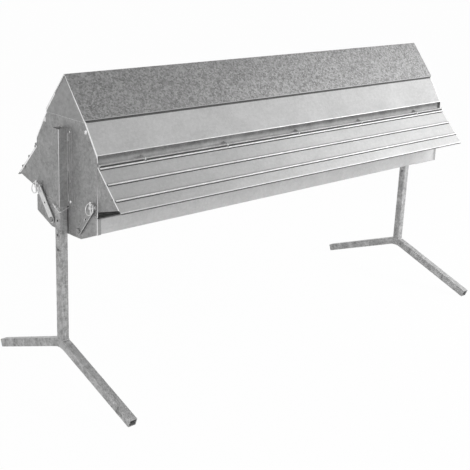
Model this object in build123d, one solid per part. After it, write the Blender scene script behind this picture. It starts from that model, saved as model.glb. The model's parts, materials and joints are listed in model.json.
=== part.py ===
from build123d import *
import os
from math import atan2, cos, degrees, radians, sin, tan

# Lamb feeder: a double-sided galvanised hopper on two legs, over a trough.
# X runs along the hopper, -Y is the front, +Z is up.
# The origin is on the ground, under the middle of the feeder. Sizes are in millimetres.
# A place in the cross-section is written (s, z): s is the distance from the middle, z the height.

# Sheet thicknesses
SHEET = 1.5
FLAP_SHEET = 1.2
PLATE = 2.0

# Hopper cross-section
PLATE_FACE_X = 899.0
APEX_Z = 1068.0
EAVE = (110.0, 936.0)
PANEL_TOP = (103.0, 940.0)
PANEL_LOW = (172.0, 835.0)
PANEL_TOP_RETURN = 15.0
PANEL_FOLD = 22.0
TONGUE_HALF = 160.0
TONGUE_LOW_Z = 600.0
PLATE_LOW_Z = 636.0
PLATE_PEAK_Z = 1048.0
EDGE_FLANGE = 15.0
EDGE_FLANGE_TOP_Z = 795.0
LID_GAP = 1.0
GABLE_LOW_Z = 929.0
GABLE_GAP = 0.5
TAB_HALF = 20.0
TAB_DEPTH = 24.0

# Hinge rail, flap rod and flap
RAIL_S = 163.0
RAIL_LOW_Z = 788.0
RAIL_FLANGE = 17.0
ROD = (180.0, 806.0)
ROD_R = 4.0
BEAD_R = 5.6
BEAD_BORE_R = 4.4
EAR_R = 6.6
EAR_T = 4.0
EAR_BELOW = 13.0
EAR_ABOVE = 11.0
EAR_SLOT = 8.0
EAR_SLOT_DOWN = 11.0
EAR_X = [-720.0, -360.0, 0.0, 360.0, 720.0]
ROD_SHORT = 2.0
FLAP_X = 898.4
FLAP_TILT = -46.0
FLAP_LENGTH = 174.0
RIB_PLACES = [10.0, 68.5, 127.0]
RIB_WIDTH = 16.0
RIB_CREST = 3.0
RIB_HEIGHT = 6.0
HEM_DEPTH = 6.0
CHEEK_GAP = 0.4
CHEEK_LOW_Z = 651.0
CHEEK_FOOT = 4.0
CHEEK_SHORT = 11.0

# Hopper floor and feed gates
FLOOR_TOP_Z = 826.0
FLOOR_BEND_Z = 800.0
FLOOR_LOW = (32.0, 648.0)
FLOOR_X = 896.6
GATE_T = 2.0
GATE_GAP = 0.4
GATE_UP = 90.0
GATE_DOWN = 5.0
GATE_X = 890.0
GATE_LIP = 10.0
GATE_BOLT_X = [-600.0, 0.0, 600.0]
GATE_BOLT_UP = 40.0
GATE_TRAVEL = 35.0
GATE_SLOT_SPARE = 1.0
GATE_BOLT_R = 4.0
GATE_BOLT_BELOW = 12.0
GATE_HEAD_R = 8.0
GATE_HEAD_T = 3.0
WING_NUT_R = 7.0
WING_NUT_T = 9.0
WINGS = (34.0, 3.0, 11.0)
WINGS_BELOW = 7.0
BRACE_X = [-450.0, 0.0, 450.0]
BRACE_W = 30.0
BRACE_T = 3.0
BRACE_Z = 870.0
BRACE_LOW_Z = 846.0

# Trough and its end caps
TROUGH_TOP = (172.0, 632.0)
TROUGH_WALL_Z = 580.0
TROUGH_FLOOR = (85.0, 544.0)
TROUGH_LIP = 10.0
CAP_TOP_Z = 640.0
CAP_CORNER = 8.0
CAP_FLANGE = 22.0
CAP_FLANGE_TOP_Z = 634.0

# Lid hinge
LID_HINGE = (113.4, 932.5)
HINGE_R = 4.0
HINGE_PIN_R = 2.0
HINGE_BORE_R = 2.4
HINGE_X = [-600.0, 0.0, 600.0]
HINGE_HALF = 30.0
KNUCKLE = 12.0
KNUCKLE_GAP = 0.6
LEAF_T = 1.5
LEAF_L = 26.0
UPPER_LEAF_START = -1.0
LOWER_LEAF_DOWN = 12.0
HINGE_PIN_PROUD = 1.0

# Leg sleeve, post and foot
TUBE = 30.0
TUBE_WALL = 2.5
TUBE_CORNER = 3.0
INNER_CORNER = 0.4
POST_X = 920.0
POST_TOP_Z = 886.0
POST_SINK = 3.0
SLEEVE_GAP = 0.5
SLEEVE_WALL = 2.5
SLEEVE_CORNER = 2.0
SLEEVE_LOW_Z = 640.0
SLEEVE_TOP_Z = 897.0
SLEEVE_BASE_HALF = 38.0
SLEEVE_BASE_T = 2.5
SLEEVE_BASE_UP = 1.0
WELD_UP = 6.0
WELD_SINK = 0.5
RIVET_S = 29.0
RIVET_Z = [655.0, 724.0, 886.0]
RIVET_R = 2.5
RIVET_HEAD_R = 4.5
RIVET_HEAD = 2.2
RIVET_GAP = 0.1
HOLE_R = 4.4
HOLE_PITCH = 50.0
HOLES_BELOW = 3
HOLES_ABOVE = 4
FOOT_TILT = 20.3
FOOT_REACH = 391.0
FOOT_BEND_R = 95.0
FOOT_FLAT = 1.0

# Leg pin with its wire bow, whose points are (y, height above the pin)
PIN_R = 4.0
PIN_CHAMFER = 0.8
PIN_IN = 903.5
PIN_OUT = 945.5
WIRE_R = 1.5
WIRE_X = 942.0
WIRE_TIP_X = 906.0
WIRE_START = (14.0, 5.5)
WIRE_CORNER = (-24.0, -16.5)
WIRE_TIP = (-24.0, -3.0)
WIRE_BEND_R = 6.0

# Trough straps, their studs and bolts
STRAP_BOLT = (78.0, 570.0)
STRAP_STUD = (157.0, 668.0)
STRAP_W = 24.0
STRAP_T = 4.0
STRAP_X = 903.6
STRAP_HOLE_R = 3.5
STRAP_SIDE_GAP = 0.5
STUD_R = 6.0
STUD_END_X = 918.5
STUD_CHAMFER = 0.8
STUD_BASE_R = 10.0
SLOT_GAP = 0.6
BOLT_R = 5.0
BOLT_HEAD_R = 9.0
BOLT_HEAD_T = 4.0
BOLT_HEAD_ROUND = 1.5

# Linch pins and their rings
LINCH_X = 913.6
LINCH_R = 3.0
LINCH_GAP = 0.4
LINCH_BELOW = 20.0
LINCH_TIP = 1.2
LINCH_HEAD_R = 5.0
LINCH_HEAD_ROUND = 1.5
LINCH_HEAD_LOW = 6.4
LINCH_HEAD_TOP = 21.0
RING_R = 19.0
RING_WIRE_R = 1.5
RING_UP = 15.0
RING_EYE_R = 2.6
RING_TILT = 16.0

# Eave bolts that hold the side panels to the end plates
EAVE_BOLT = (115.0, 901.0)
EAVE_BOLT_R = 3.0
EAVE_HEAD_R = 6.0
EAVE_HEAD_T = 3.5

# Two small helpers for places in the cross-section


def step(place, angle, along, across=0.0):
    """Go from a place along a direction given in degrees, then to its left."""
    a = radians(angle)
    return (place[0] + along * cos(a) - across * sin(a),
            place[1] + along * sin(a) + across * cos(a))


def slope(low, high):
    """The direction from one place to another, in degrees."""
    return degrees(atan2(high[1] - low[1], high[0] - low[0]))


def other_side(points):
    """The same places on the other side of the middle, in reverse order."""
    return [(-s, z) for s, z in reversed(points)]


# Basic solids


def prism(points, x_low, x_high):
    """A solid with a straight-sided cross-section, between two places along X."""
    face = make_face(Polyline(*points, close=True))
    return extrude(Plane((x_low, 0, 0), x_dir=(0, 1, 0), z_dir=(1, 0, 0)) * face, amount=x_high - x_low)


def left_of(points, thickness):
    """The line that runs beside a line of points, one sheet thickness to its left."""
    headings = [slope(a, b) for a, b in zip(points, points[1:])]
    result = []
    for i, (s, z) in enumerate(points):
        before = radians(headings[max(i - 1, 0)])
        after = radians(headings[min(i, len(headings) - 1)])
        normal = (-sin(before) - sin(after), cos(before) + cos(after))
        scale = thickness / (1 + cos(before - after))
        result.append((s + normal[0] * scale, z + normal[1] * scale))
    return result


def sheet(points, thickness, x_low, x_high):
    """Sheet metal bent along a line of points, with its thickness to the line's left."""
    return prism(points + left_of(points, thickness)[::-1], x_low, x_high)


def rod(x_low, x_high, place, radius):
    """A round bar along X."""
    s, z = place
    return extrude(Plane((x_low, s, z), z_dir=(1, 0, 0)) * Circle(radius), amount=x_high - x_low)


def bar(start, end, radius):
    """A round bar between two points."""
    path = Vector(*end) - Vector(*start)
    return extrude(Plane(start, z_dir=path) * Circle(radius), amount=path.length)


def block(x_range, y_range, z_range):
    """A box between two places along each axis."""
    size = [high - low for low, high in (x_range, y_range, z_range)]
    middle = [(high + low) / 2 for low, high in (x_range, y_range, z_range)]
    return Pos(*middle) * Box(*size)


def group(*pieces):
    """Separate solids that share one node."""
    return Compound([solid for piece in pieces for solid in piece.solids()])


def both_ends(piece):
    """A piece and its twin at the other end of the feeder."""
    return [piece, mirror(piece, about=Plane.YZ)]


def both_sides(piece):
    """A piece and its twin on the other long side of the feeder."""
    return [piece, mirror(piece, about=Plane.XZ)]


def all_corners(piece):
    """A piece and its twins at the feeder's other three corners."""
    return [twin for end in both_ends(piece) for twin in both_sides(end)]


def rivet(place, grip, face_x):
    """A dome rivet whose head stands on the face at face_x, pointing along +X."""
    s, z = place
    shank = rod(face_x - grip, face_x, place, RIVET_R)
    half = make_face([
        Polyline((0, 0), (RIVET_HEAD_R, 0)),
        RadiusArc((RIVET_HEAD_R, 0), (0, RIVET_HEAD), -(RIVET_HEAD_R ** 2 + RIVET_HEAD ** 2) / (2 * RIVET_HEAD)),
        Line((0, RIVET_HEAD), (0, 0)),
    ])
    dome = revolve(Plane.XZ * half, axis=Axis.Z)
    return shank + Plane((face_x, s, z), z_dir=(1, 0, 0)) * dome


# Fasteners on the end plates, drawn at the right-hand end


def sleeve_rivets():
    places = [(side * RIVET_S, z) for side in (-1, 1) for z in RIVET_Z]
    face_x = PLATE_FACE_X + SLEEVE_BASE_T
    return [rivet(place, PLATE + SLEEVE_BASE_T, face_x) for place in places]


def rivet_holes():
    x_low = PLATE_FACE_X - 2 * PLATE
    x_high = PLATE_FACE_X + 2 * SLEEVE_BASE_T
    places = [(side * RIVET_S, z) for side in (-1, 1) for z in RIVET_Z]
    return [rod(x_low, x_high, place, RIVET_R + RIVET_GAP) for place in places]


def eave_bolt(side):
    place = (side * EAVE_BOLT[0], EAVE_BOLT[1])
    inner = PLATE_FACE_X - PLATE - SHEET
    shank = rod(inner, PLATE_FACE_X, place, EAVE_BOLT_R)
    head = extrude(
        Plane((PLATE_FACE_X, *place), z_dir=(1, 0, 0)) * RegularPolygon(EAVE_HEAD_R, 6), amount=EAVE_HEAD_T)
    nut = extrude(
        Plane((inner - EAVE_HEAD_T, *place), z_dir=(1, 0, 0)) * RegularPolygon(EAVE_HEAD_R, 6), amount=EAVE_HEAD_T)
    return shank + head + nut


def strap_stud():
    base = rod(PLATE_FACE_X, PLATE_FACE_X + PLATE, STRAP_STUD, STUD_BASE_R)
    shank = rod(PLATE_FACE_X, STUD_END_X, STRAP_STUD, STUD_R)
    s, z = STRAP_STUD
    hole = bar((LINCH_X, s, z - 2 * STUD_R), (LINCH_X, s, z + 2 * STUD_R), LINCH_R + LINCH_GAP)
    return chamfer((base + shank).faces().sort_by(Axis.X)[-1].edges(), STUD_CHAMFER) - hole


def strap_bolt():
    cap_face = PLATE_FACE_X + PLATE
    head_x = STRAP_X + STRAP_T + STRAP_SIDE_GAP
    washer = rod(cap_face, STRAP_X - STRAP_SIDE_GAP, STRAP_BOLT, BOLT_HEAD_R)
    shank = rod(cap_face, head_x, STRAP_BOLT, BOLT_R)
    head = rod(head_x, head_x + BOLT_HEAD_T, STRAP_BOLT, BOLT_HEAD_R)
    rounded = fillet(head.faces().sort_by(Axis.X)[-1].edges(), BOLT_HEAD_ROUND)
    return washer + shank + rounded


# Hopper


def end_plate():
    """The right-hand end plate, with a tongue in the trough and two folded edges."""
    roof_angle = slope(EAVE, (0, APEX_Z))
    drop = (SHEET + LID_GAP) / sin(radians(roof_angle - 90))
    peak_s = PANEL_TOP[0] * (APEX_Z - drop - PLATE_PEAK_Z) / (APEX_Z - drop - PANEL_TOP[1])
    half = [(TONGUE_HALF, TONGUE_LOW_Z), (TONGUE_HALF, PLATE_LOW_Z), (PANEL_LOW[0], PLATE_LOW_Z),
            PANEL_LOW, PANEL_TOP, (peak_s, PLATE_PEAK_Z)]
    plate = prism(half + other_side(half), PLATE_FACE_X - PLATE, PLATE_FACE_X)
    flange = block((PLATE_FACE_X - PLATE - EDGE_FLANGE, PLATE_FACE_X - PLATE),
                   (PANEL_LOW[0] - PLATE, PANEL_LOW[0]), (PLATE_LOW_Z, EDGE_FLANGE_TOP_Z))
    for piece in both_sides(flange):
        plate += piece
    for hole in rivet_holes():
        plate -= hole
    for side in (-1, 1):
        place = (side * EAVE_BOLT[0], EAVE_BOLT[1])
        plate -= rod(PLATE_FACE_X - 2 * PLATE, PLATE_FACE_X + PLATE, place, EAVE_BOLT_R + RIVET_GAP)
    return plate


def side_panel():
    """The rear side panel: a sloping sheet with a top return, a low fold and two end tabs."""
    fold_end = (PANEL_LOW[0] - PANEL_FOLD, PANEL_LOW[1])
    top_end = (PANEL_TOP[0] - PANEL_TOP_RETURN, PANEL_TOP[1])
    x_end = PLATE_FACE_X - PLATE
    panel = sheet([fold_end, PANEL_LOW, PANEL_TOP, top_end], SHEET, -x_end, x_end)
    angle = slope(PANEL_LOW, PANEL_TOP)
    bolt_along = (EAVE_BOLT[1] - PANEL_LOW[1]) / sin(radians(angle))
    low, high = bolt_along - TAB_HALF, bolt_along + TAB_HALF
    tab = [step(PANEL_LOW, angle, low, SHEET / 2), step(PANEL_LOW, angle, high, SHEET / 2),
           step(PANEL_LOW, angle, high, TAB_DEPTH), step(PANEL_LOW, angle, low, TAB_DEPTH)]
    hole = rod(x_end - 2 * SHEET, x_end + SHEET, EAVE_BOLT, EAVE_BOLT_R + RIVET_GAP)
    for piece in both_ends(prism(tab, x_end - SHEET, x_end) - hole):
        panel += piece
    return panel


def hinge_rail():
    """The rear hinge rail: an angle under the side panel, with ears that carry the flap's rod."""
    web_inner = RAIL_S - SHEET
    top = PANEL_LOW[1]
    rail = sheet([(RAIL_S, RAIL_LOW_Z), (RAIL_S, top), (RAIL_S - RAIL_FLANGE, top)], SHEET, -FLOOR_X, FLOOR_X)
    root_s = web_inner + SHEET / 2
    root = [(root_s, ROD[1] - EAR_BELOW), (ROD[0], ROD[1] - EAR_R),
            (ROD[0], ROD[1] + EAR_R), (root_s, ROD[1] + EAR_ABOVE)]
    for x in EAR_X:
        low, high = x - EAR_T / 2, x + EAR_T / 2
        rail += prism(root, low, high) + rod(low, high, ROD, EAR_R)
    for x in EAR_X:
        rail -= rod(x - EAR_T, x + EAR_T, ROD, ROD_R + RIVET_GAP / 2)
    return rail


FLOOR_S = RAIL_S - SHEET
FLOOR_ANGLE = slope(FLOOR_LOW, (FLOOR_S, FLOOR_BEND_Z))


def gate_bolt_line(x, low, high, radius):
    """A round bar square to the rear floor, from low to high above its underside."""
    base = step(FLOOR_LOW, FLOOR_ANGLE, GATE_BOLT_UP)
    return bar((x, *step(base, FLOOR_ANGLE, 0, low)), (x, *step(base, FLOOR_ANGLE, 0, high)), radius)


def hopper_floor():
    """The rear floor: a lip against the hinge rail, and a slope that leads the feed to the middle."""
    floor = sheet([FLOOR_LOW, (FLOOR_S, FLOOR_BEND_Z), (FLOOR_S, FLOOR_TOP_Z)], SHEET, -FLOOR_X, FLOOR_X)
    for x in GATE_BOLT_X:
        floor -= gate_bolt_line(x, -GATE_T, 2 * SHEET, GATE_BOLT_R + RIVET_GAP)
    return floor


def feed_gate():
    """The rear feed gate: a slotted plate under the floor, with a stiffening lip at its low edge."""
    below = -GATE_GAP - GATE_T
    low = step(FLOOR_LOW, FLOOR_ANGLE, -GATE_DOWN, below)
    high = step(FLOOR_LOW, FLOOR_ANGLE, GATE_UP, below)
    lip = step(low, FLOOR_ANGLE, 0, -GATE_LIP)
    gate = sheet([lip, low, high], GATE_T, -GATE_X, GATE_X)
    slot = SlotCenterToCenter(GATE_TRAVEL + GATE_SLOT_SPARE, 2 * (GATE_BOLT_R + GATE_GAP))
    middle = step(FLOOR_LOW, FLOOR_ANGLE, GATE_BOLT_UP + GATE_TRAVEL / 2, below - GATE_T)
    angle = radians(FLOOR_ANGLE)
    for x in GATE_BOLT_X:
        plane = Plane((x, *middle), x_dir=(0, cos(angle), sin(angle)), z_dir=(0, -sin(angle), cos(angle)))
        gate -= extrude(plane * slot, amount=4 * GATE_T)
    return gate


def gate_bolt(x):
    """A bolt through the rear floor and gate, with a wing nut under the gate."""
    nut_top = -GATE_GAP - GATE_T - GATE_GAP
    head = gate_bolt_line(x, SHEET, SHEET + GATE_HEAD_T, GATE_HEAD_R)
    shank = gate_bolt_line(x, nut_top - GATE_BOLT_BELOW, SHEET, GATE_BOLT_R)
    nut = gate_bolt_line(x, nut_top - WING_NUT_T, nut_top, WING_NUT_R)
    base = step(FLOOR_LOW, FLOOR_ANGLE, GATE_BOLT_UP, nut_top - WINGS_BELOW)
    angle = radians(FLOOR_ANGLE)
    plane = Plane((x, *base), x_dir=(1, 0, 0), z_dir=(0, -sin(angle), cos(angle)))
    return head + shank + nut + plane * Box(*WINGS)


def inner_brace(x):
    """A strap across the hopper that keeps the side panels apart."""
    def inside(z):
        run = (PANEL_LOW[0] - PANEL_TOP[0]) / (PANEL_TOP[1] - PANEL_LOW[1])
        wall = SHEET / cos(atan2(run, 1))
        return PANEL_LOW[0] - (z - PANEL_LOW[1]) * run - wall
    half = [(inside(BRACE_LOW_Z), BRACE_LOW_Z), (inside(BRACE_Z), BRACE_Z)]
    return sheet(half + other_side(half), BRACE_T, x - BRACE_W / 2, x + BRACE_W / 2)


# Trough


def trough_line(offset=0.0):
    """The trough's outside, from its rear top edge round to its front top edge."""
    half = [TROUGH_TOP, (TROUGH_TOP[0], TROUGH_WALL_Z), TROUGH_FLOOR]
    line = half + other_side(half)
    return left_of(line, offset) if offset else line


def trough():
    """The trough's sheet, with its top edges turned in."""
    line = trough_line()
    lip = (TROUGH_TOP[0] - TROUGH_LIP, TROUGH_TOP[1])
    points = ([lip] + line + [(-lip[0], lip[1])])[::-1]
    return sheet(points, SHEET, -PLATE_FACE_X, PLATE_FACE_X)


def trough_cap():
    """The right-hand trough end: a plate with a flange round the trough's outside."""
    outer = trough_line(PLATE)
    top_s = TROUGH_TOP[0] + PLATE
    ring = [(top_s, CAP_FLANGE_TOP_Z), *outer[1:-1], (-top_s, CAP_FLANGE_TOP_Z)]
    corner_s = TROUGH_TOP[0] - CAP_CORNER
    plate = prism(ring + [(-corner_s, CAP_TOP_Z), (corner_s, CAP_TOP_Z)], PLATE_FACE_X, PLATE_FACE_X + PLATE)
    inner = trough_line()
    hollow = [(TROUGH_TOP[0], CAP_FLANGE_TOP_Z), *inner[1:-1], (-TROUGH_TOP[0], CAP_FLANGE_TOP_Z)]
    flange = prism(ring + hollow[::-1], PLATE_FACE_X + PLATE - CAP_FLANGE, PLATE_FACE_X)
    return plate + flange


# Lid


def roof_sheet():
    """The lid's two slopes."""
    end_x = PLATE_FACE_X + GABLE_GAP + SHEET
    points = [EAVE, (0, APEX_Z), (-EAVE[0], EAVE[1])]
    return sheet(points, SHEET, -end_x, end_x)


def roof_gable():
    """The right-hand gable plate, welded under the ends of the roof sheet."""
    angle = slope(EAVE, (0, APEX_Z))
    drop = SHEET / sin(radians(angle - 90))
    run = EAVE[0] / (APEX_Z - EAVE[1])
    corner = EAVE[0] - drop * run
    low = [(corner, GABLE_LOW_Z), (corner, EAVE[1])]
    points = low + [(0, APEX_Z - drop)] + other_side(low)
    x_low = PLATE_FACE_X + GABLE_GAP
    return prism(points, x_low, x_low + SHEET)


def hinge_leaf(x, points, knuckles, bore):
    """A leaf on a line of points, with knuckles round the lid hinge's axis."""
    leaf = sheet(points, LEAF_T, x - HINGE_HALF, x + HINGE_HALF)
    for low, high in knuckles:
        leaf += rod(x + low, x + high, LID_HINGE, HINGE_R)
    for low, high in knuckles:
        leaf -= rod(x + low - KNUCKLE_GAP, x + high + KNUCKLE_GAP, LID_HINGE, bore)
    return leaf


OUTER_KNUCKLES = [(-HINGE_HALF, -HINGE_HALF + KNUCKLE), (HINGE_HALF - KNUCKLE, HINGE_HALF)]
INNER_KNUCKLE = [(-HINGE_HALF + KNUCKLE + KNUCKLE_GAP, HINGE_HALF - KNUCKLE - KNUCKLE_GAP)]


def clear_of(leaf, x, gaps):
    """Cut a leaf away round the other leaf's knuckles."""
    for low, high in gaps:
        leaf -= rod(x + low - KNUCKLE_GAP, x + high + KNUCKLE_GAP, LID_HINGE, HINGE_R + KNUCKLE_GAP)
    return leaf


def upper_leaf(x):
    """The leaf on the lid's rear slope."""
    angle = slope(EAVE, (0, APEX_Z))
    start = step(EAVE, angle, UPPER_LEAF_START, -LEAF_T)
    end = step(EAVE, angle, LEAF_L, -LEAF_T)
    leaf = hinge_leaf(x, [start, end], OUTER_KNUCKLES, HINGE_BORE_R)
    return clear_of(leaf, x, INNER_KNUCKLE)


def lower_leaf(x):
    """The leaf on the rear side panel."""
    angle = slope(PANEL_LOW, PANEL_TOP)
    full = (PANEL_TOP[1] - PANEL_LOW[1]) / sin(radians(angle))
    start = step(PANEL_LOW, angle, full - LOWER_LEAF_DOWN - LEAF_L, -LEAF_T)
    end = step(PANEL_LOW, angle, full - LOWER_LEAF_DOWN, -LEAF_T)
    leaf = hinge_leaf(x, [start, end], INNER_KNUCKLE, HINGE_PIN_R + RIVET_GAP / 2)
    return clear_of(leaf, x, OUTER_KNUCKLES)


def lid_hinge_pin(x):
    half = HINGE_HALF + HINGE_PIN_PROUD
    return rod(x - half, x + half, LID_HINGE, HINGE_PIN_R)


# Flaps


def flap_rod():
    """The rod in the rear flap's bead, a little shorter than the flap."""
    return rod(-FLAP_X + ROD_SHORT, FLAP_X - ROD_SHORT, ROD, ROD_R)


def flap_line():
    """The rear flap's inner face, from its rolled bead to its hem."""
    base = -BEAD_R
    points = [step(ROD, FLAP_TILT, 0, base)]
    for place in RIB_PLACES:
        points.append(step(ROD, FLAP_TILT, place - RIB_WIDTH / 2, base))
        points.append(step(ROD, FLAP_TILT, place - RIB_CREST / 2, base + RIB_HEIGHT))
        points.append(step(ROD, FLAP_TILT, place + RIB_CREST / 2, base + RIB_HEIGHT))
        points.append(step(ROD, FLAP_TILT, place + RIB_WIDTH / 2, base))
    points.append(step(ROD, FLAP_TILT, FLAP_LENGTH, base))
    return points


def flap():
    """The rear flap: a sheet rolled round the rod, with three pressed ribs and a closed hem."""
    panel = sheet(flap_line(), FLAP_SHEET, -FLAP_X, FLAP_X)
    hem_top = step(ROD, FLAP_TILT, FLAP_LENGTH, -BEAD_R)
    hem_back = step(ROD, FLAP_TILT, FLAP_LENGTH - HEM_DEPTH, -BEAD_R - FLAP_SHEET)
    hem_end = step(ROD, FLAP_TILT, FLAP_LENGTH, -BEAD_R - FLAP_SHEET)
    hem_start = step(ROD, FLAP_TILT, FLAP_LENGTH - HEM_DEPTH, -BEAD_R)
    x_hem = FLAP_X - 2 * FLAP_SHEET
    panel += prism([hem_start, hem_top, hem_end, hem_back], -x_hem, x_hem)
    x_bead = FLAP_X - FLAP_SHEET - GABLE_GAP
    panel += rod(-x_bead, x_bead, ROD, BEAD_R)
    panel -= rod(-FLAP_X, FLAP_X, ROD, BEAD_BORE_R)
    for cut in both_ends(rod(x_bead, FLAP_X, ROD, BEAD_R + RIVET_GAP)):
        panel -= cut
    reach = EAR_R + CHEEK_GAP
    slot = [step(ROD, FLAP_TILT, -reach, -reach), step(ROD, FLAP_TILT, EAR_SLOT_DOWN, -reach),
            step(ROD, FLAP_TILT, EAR_SLOT_DOWN, reach), step(ROD, FLAP_TILT, -reach, reach)]
    for x in EAR_X:
        panel -= prism(slot, x - EAR_SLOT / 2, x + EAR_SLOT / 2)
    return panel


def flap_cheek():
    """The cheek at the rear flap's right-hand end. It rests against the end plate's edge."""
    inner_s = PANEL_LOW[0] + CHEEK_GAP
    under = -BEAD_R
    tip = step(ROD, FLAP_TILT, FLAP_LENGTH - CHEEK_SHORT, under)
    top = step(ROD, FLAP_TILT, 0, under)
    points = [(inner_s, ROD[1]), (inner_s, CHEEK_LOW_Z), (inner_s + CHEEK_FOOT, CHEEK_LOW_Z), tip, top, ROD]
    x_low = FLAP_X - FLAP_SHEET
    return prism(points, x_low, FLAP_X) + rod(x_low, FLAP_X, ROD, BEAD_R)


# Legs


def square_tube(outer, wall, corner):
    """The cross-section of a square tube with rounded corners."""
    inner = outer - 2 * wall
    inner_corner = max(corner - wall, INNER_CORNER)
    return RectangleRounded(outer, outer, corner) - RectangleRounded(inner, inner, inner_corner)


def foot():
    """The right-hand foot: one tube bent into a wide upturned V."""
    angle = radians(FOOT_TILT)
    end_z = TUBE / 2 * cos(angle) - FOOT_FLAT
    vertex_z = end_z + FOOT_REACH * tan(angle)
    tangent = FOOT_BEND_R * tan(angle)
    shoulder = (tangent * cos(angle), vertex_z - tangent * sin(angle))
    crown_z = vertex_z - FOOT_BEND_R * (1 / cos(angle) - 1)
    rear_end = (POST_X, FOOT_REACH, end_z)
    front_end = (POST_X, -FOOT_REACH, end_z)
    rear_shoulder = (POST_X, *shoulder)
    front_shoulder = (POST_X, -shoulder[0], shoulder[1])
    path = Wire([Line(rear_end, rear_shoulder),
                 ThreePointArc(rear_shoulder, (POST_X, 0, crown_z), front_shoulder),
                 Line(front_shoulder, front_end)])
    start = Plane(rear_end, x_dir=(1, 0, 0), z_dir=(0, -cos(angle), sin(angle)))
    tube = sweep(start * square_tube(TUBE, TUBE_WALL, TUBE_CORNER), path=path)
    ground = block((POST_X - TUBE, POST_X + TUBE), (-FOOT_REACH - TUBE, FOOT_REACH + TUBE), (-TUBE, 0))
    return tube - ground


def post(foot_tube):
    """The right-hand post, cut to sit on the foot, with a row of pin holes."""
    angle = radians(FOOT_TILT)
    crown = TUBE / 2 * cos(angle) - FOOT_FLAT + FOOT_REACH * tan(angle)
    crown += TUBE / 2 - FOOT_BEND_R * (1 / cos(angle) - 1)
    low_z = crown - POST_SINK
    section = Pos(POST_X, 0, low_z) * square_tube(TUBE, TUBE_WALL, TUBE_CORNER)
    tube = extrude(section, amount=POST_TOP_Z - low_z)
    beneath = block((POST_X - TUBE, POST_X + TUBE), (-TUBE, TUBE), (low_z - TUBE, crown + TUBE))
    tube -= foot_tube.intersect(beneath)
    for i in range(-HOLES_BELOW, HOLES_ABOVE + 1):
        z = SLEEVE_LOW_Z + i * HOLE_PITCH
        tube -= rod(POST_X - TUBE, POST_X + TUBE, (0, z), HOLE_R)
    solids = sorted(tube.solids(), key=lambda piece: piece.volume)
    return Part() + solids[-1]


def leg_sleeve():
    """The right-hand sleeve: a square tube on a riveted base plate, notched for the pin."""
    outer = TUBE + 2 * (SLEEVE_GAP + SLEEVE_WALL)
    height = SLEEVE_TOP_Z - SLEEVE_LOW_Z
    section = square_tube(outer, SLEEVE_WALL, SLEEVE_CORNER)
    tube = extrude(Pos(POST_X, 0, SLEEVE_LOW_Z) * section, amount=height)
    base_face = PLATE_FACE_X + SLEEVE_BASE_T
    base = block((PLATE_FACE_X, base_face), (-SLEEVE_BASE_HALF, SLEEVE_BASE_HALF),
                 (SLEEVE_LOW_Z + SLEEVE_BASE_UP, SLEEVE_TOP_Z))
    weld = block((base_face, POST_X - outer / 2 + WELD_SINK), (-TUBE / 2, TUBE / 2),
                 (SLEEVE_LOW_Z + WELD_UP, SLEEVE_TOP_Z))
    sleeve = tube + base + weld
    sleeve -= rod(base_face, POST_X + outer, (0, SLEEVE_LOW_Z), HOLE_R)
    for hole in rivet_holes():
        sleeve -= hole
    return sleeve


def leg_pin():
    """The right-hand leg pin, with a wire bow that lies round the sleeve's front corner."""
    z = SLEEVE_LOW_Z
    shank = chamfer(rod(PIN_IN, PIN_OUT, (0, z), PIN_R).edges(), PIN_CHAMFER)
    start = (WIRE_X, WIRE_START[0], z + WIRE_START[1])
    corner = (WIRE_X, WIRE_CORNER[0], z + WIRE_CORNER[1])
    tip = (WIRE_TIP_X, WIRE_TIP[0], z + WIRE_TIP[1])
    path = FilletPolyline(start, corner, tip, radius=WIRE_BEND_R)
    begin = Plane(start, z_dir=Vector(*corner) - Vector(*start))
    wire = sweep(begin * Circle(WIRE_R), path=path)
    return shank + wire


# Trough straps and linch pins, drawn at the rear right-hand corner


def trough_strap():
    """A strap that turns on the cap's bolt and hooks over the end plate's stud."""
    reach = ((STRAP_STUD[0] - STRAP_BOLT[0]) ** 2 + (STRAP_STUD[1] - STRAP_BOLT[1]) ** 2) ** 0.5
    angle = slope(STRAP_BOLT, STRAP_STUD)
    middle = step(STRAP_BOLT, angle, reach / 2)
    along = (0, cos(radians(angle)), sin(radians(angle)))
    plane = Plane((STRAP_X, *middle), x_dir=along, z_dir=(1, 0, 0))
    strap = extrude(plane * SlotCenterToCenter(reach, STRAP_W), amount=STRAP_T)
    width = STUD_R + SLOT_GAP
    at_bolt = Plane((STRAP_X - STRAP_T, *STRAP_BOLT), x_dir=along, z_dir=(1, 0, 0))
    ring = at_bolt * (Circle(reach + width) - Circle(reach - width))
    below = at_bolt * Pos(reach, -STRAP_W) * Rectangle(4 * STRAP_W, 2 * STRAP_W)
    strap -= extrude(ring & below, amount=3 * STRAP_T)
    far = STRAP_X + 2 * STRAP_T
    strap -= rod(STRAP_X - STRAP_T, far, STRAP_STUD, width)
    strap -= rod(STRAP_X - STRAP_T, far, STRAP_BOLT, BOLT_R + LINCH_GAP)
    strap -= rod(STRAP_X - STRAP_T, far, middle, STRAP_HOLE_R)
    return strap


def linch_pin():
    """A pin dropped through the stud, with a head that carries the ring."""
    s, z = STRAP_STUD
    shank = bar((LINCH_X, s, z - LINCH_BELOW), (LINCH_X, s, z + LINCH_HEAD_LOW), LINCH_R)
    pin = chamfer(shank.faces().sort_by(Axis.Z)[0].edges(), LINCH_TIP)
    head = bar((LINCH_X, s, z + LINCH_HEAD_LOW), (LINCH_X, s, z + LINCH_HEAD_TOP), LINCH_HEAD_R)
    rounded = fillet(head.faces().sort_by(Axis.Z)[-1].edges(), LINCH_HEAD_ROUND)
    across = 2 * LINCH_HEAD_R
    eye = bar((LINCH_X, s - across, z + RING_UP), (LINCH_X, s + across, z + RING_UP), RING_EYE_R)
    return pin + rounded - eye


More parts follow.
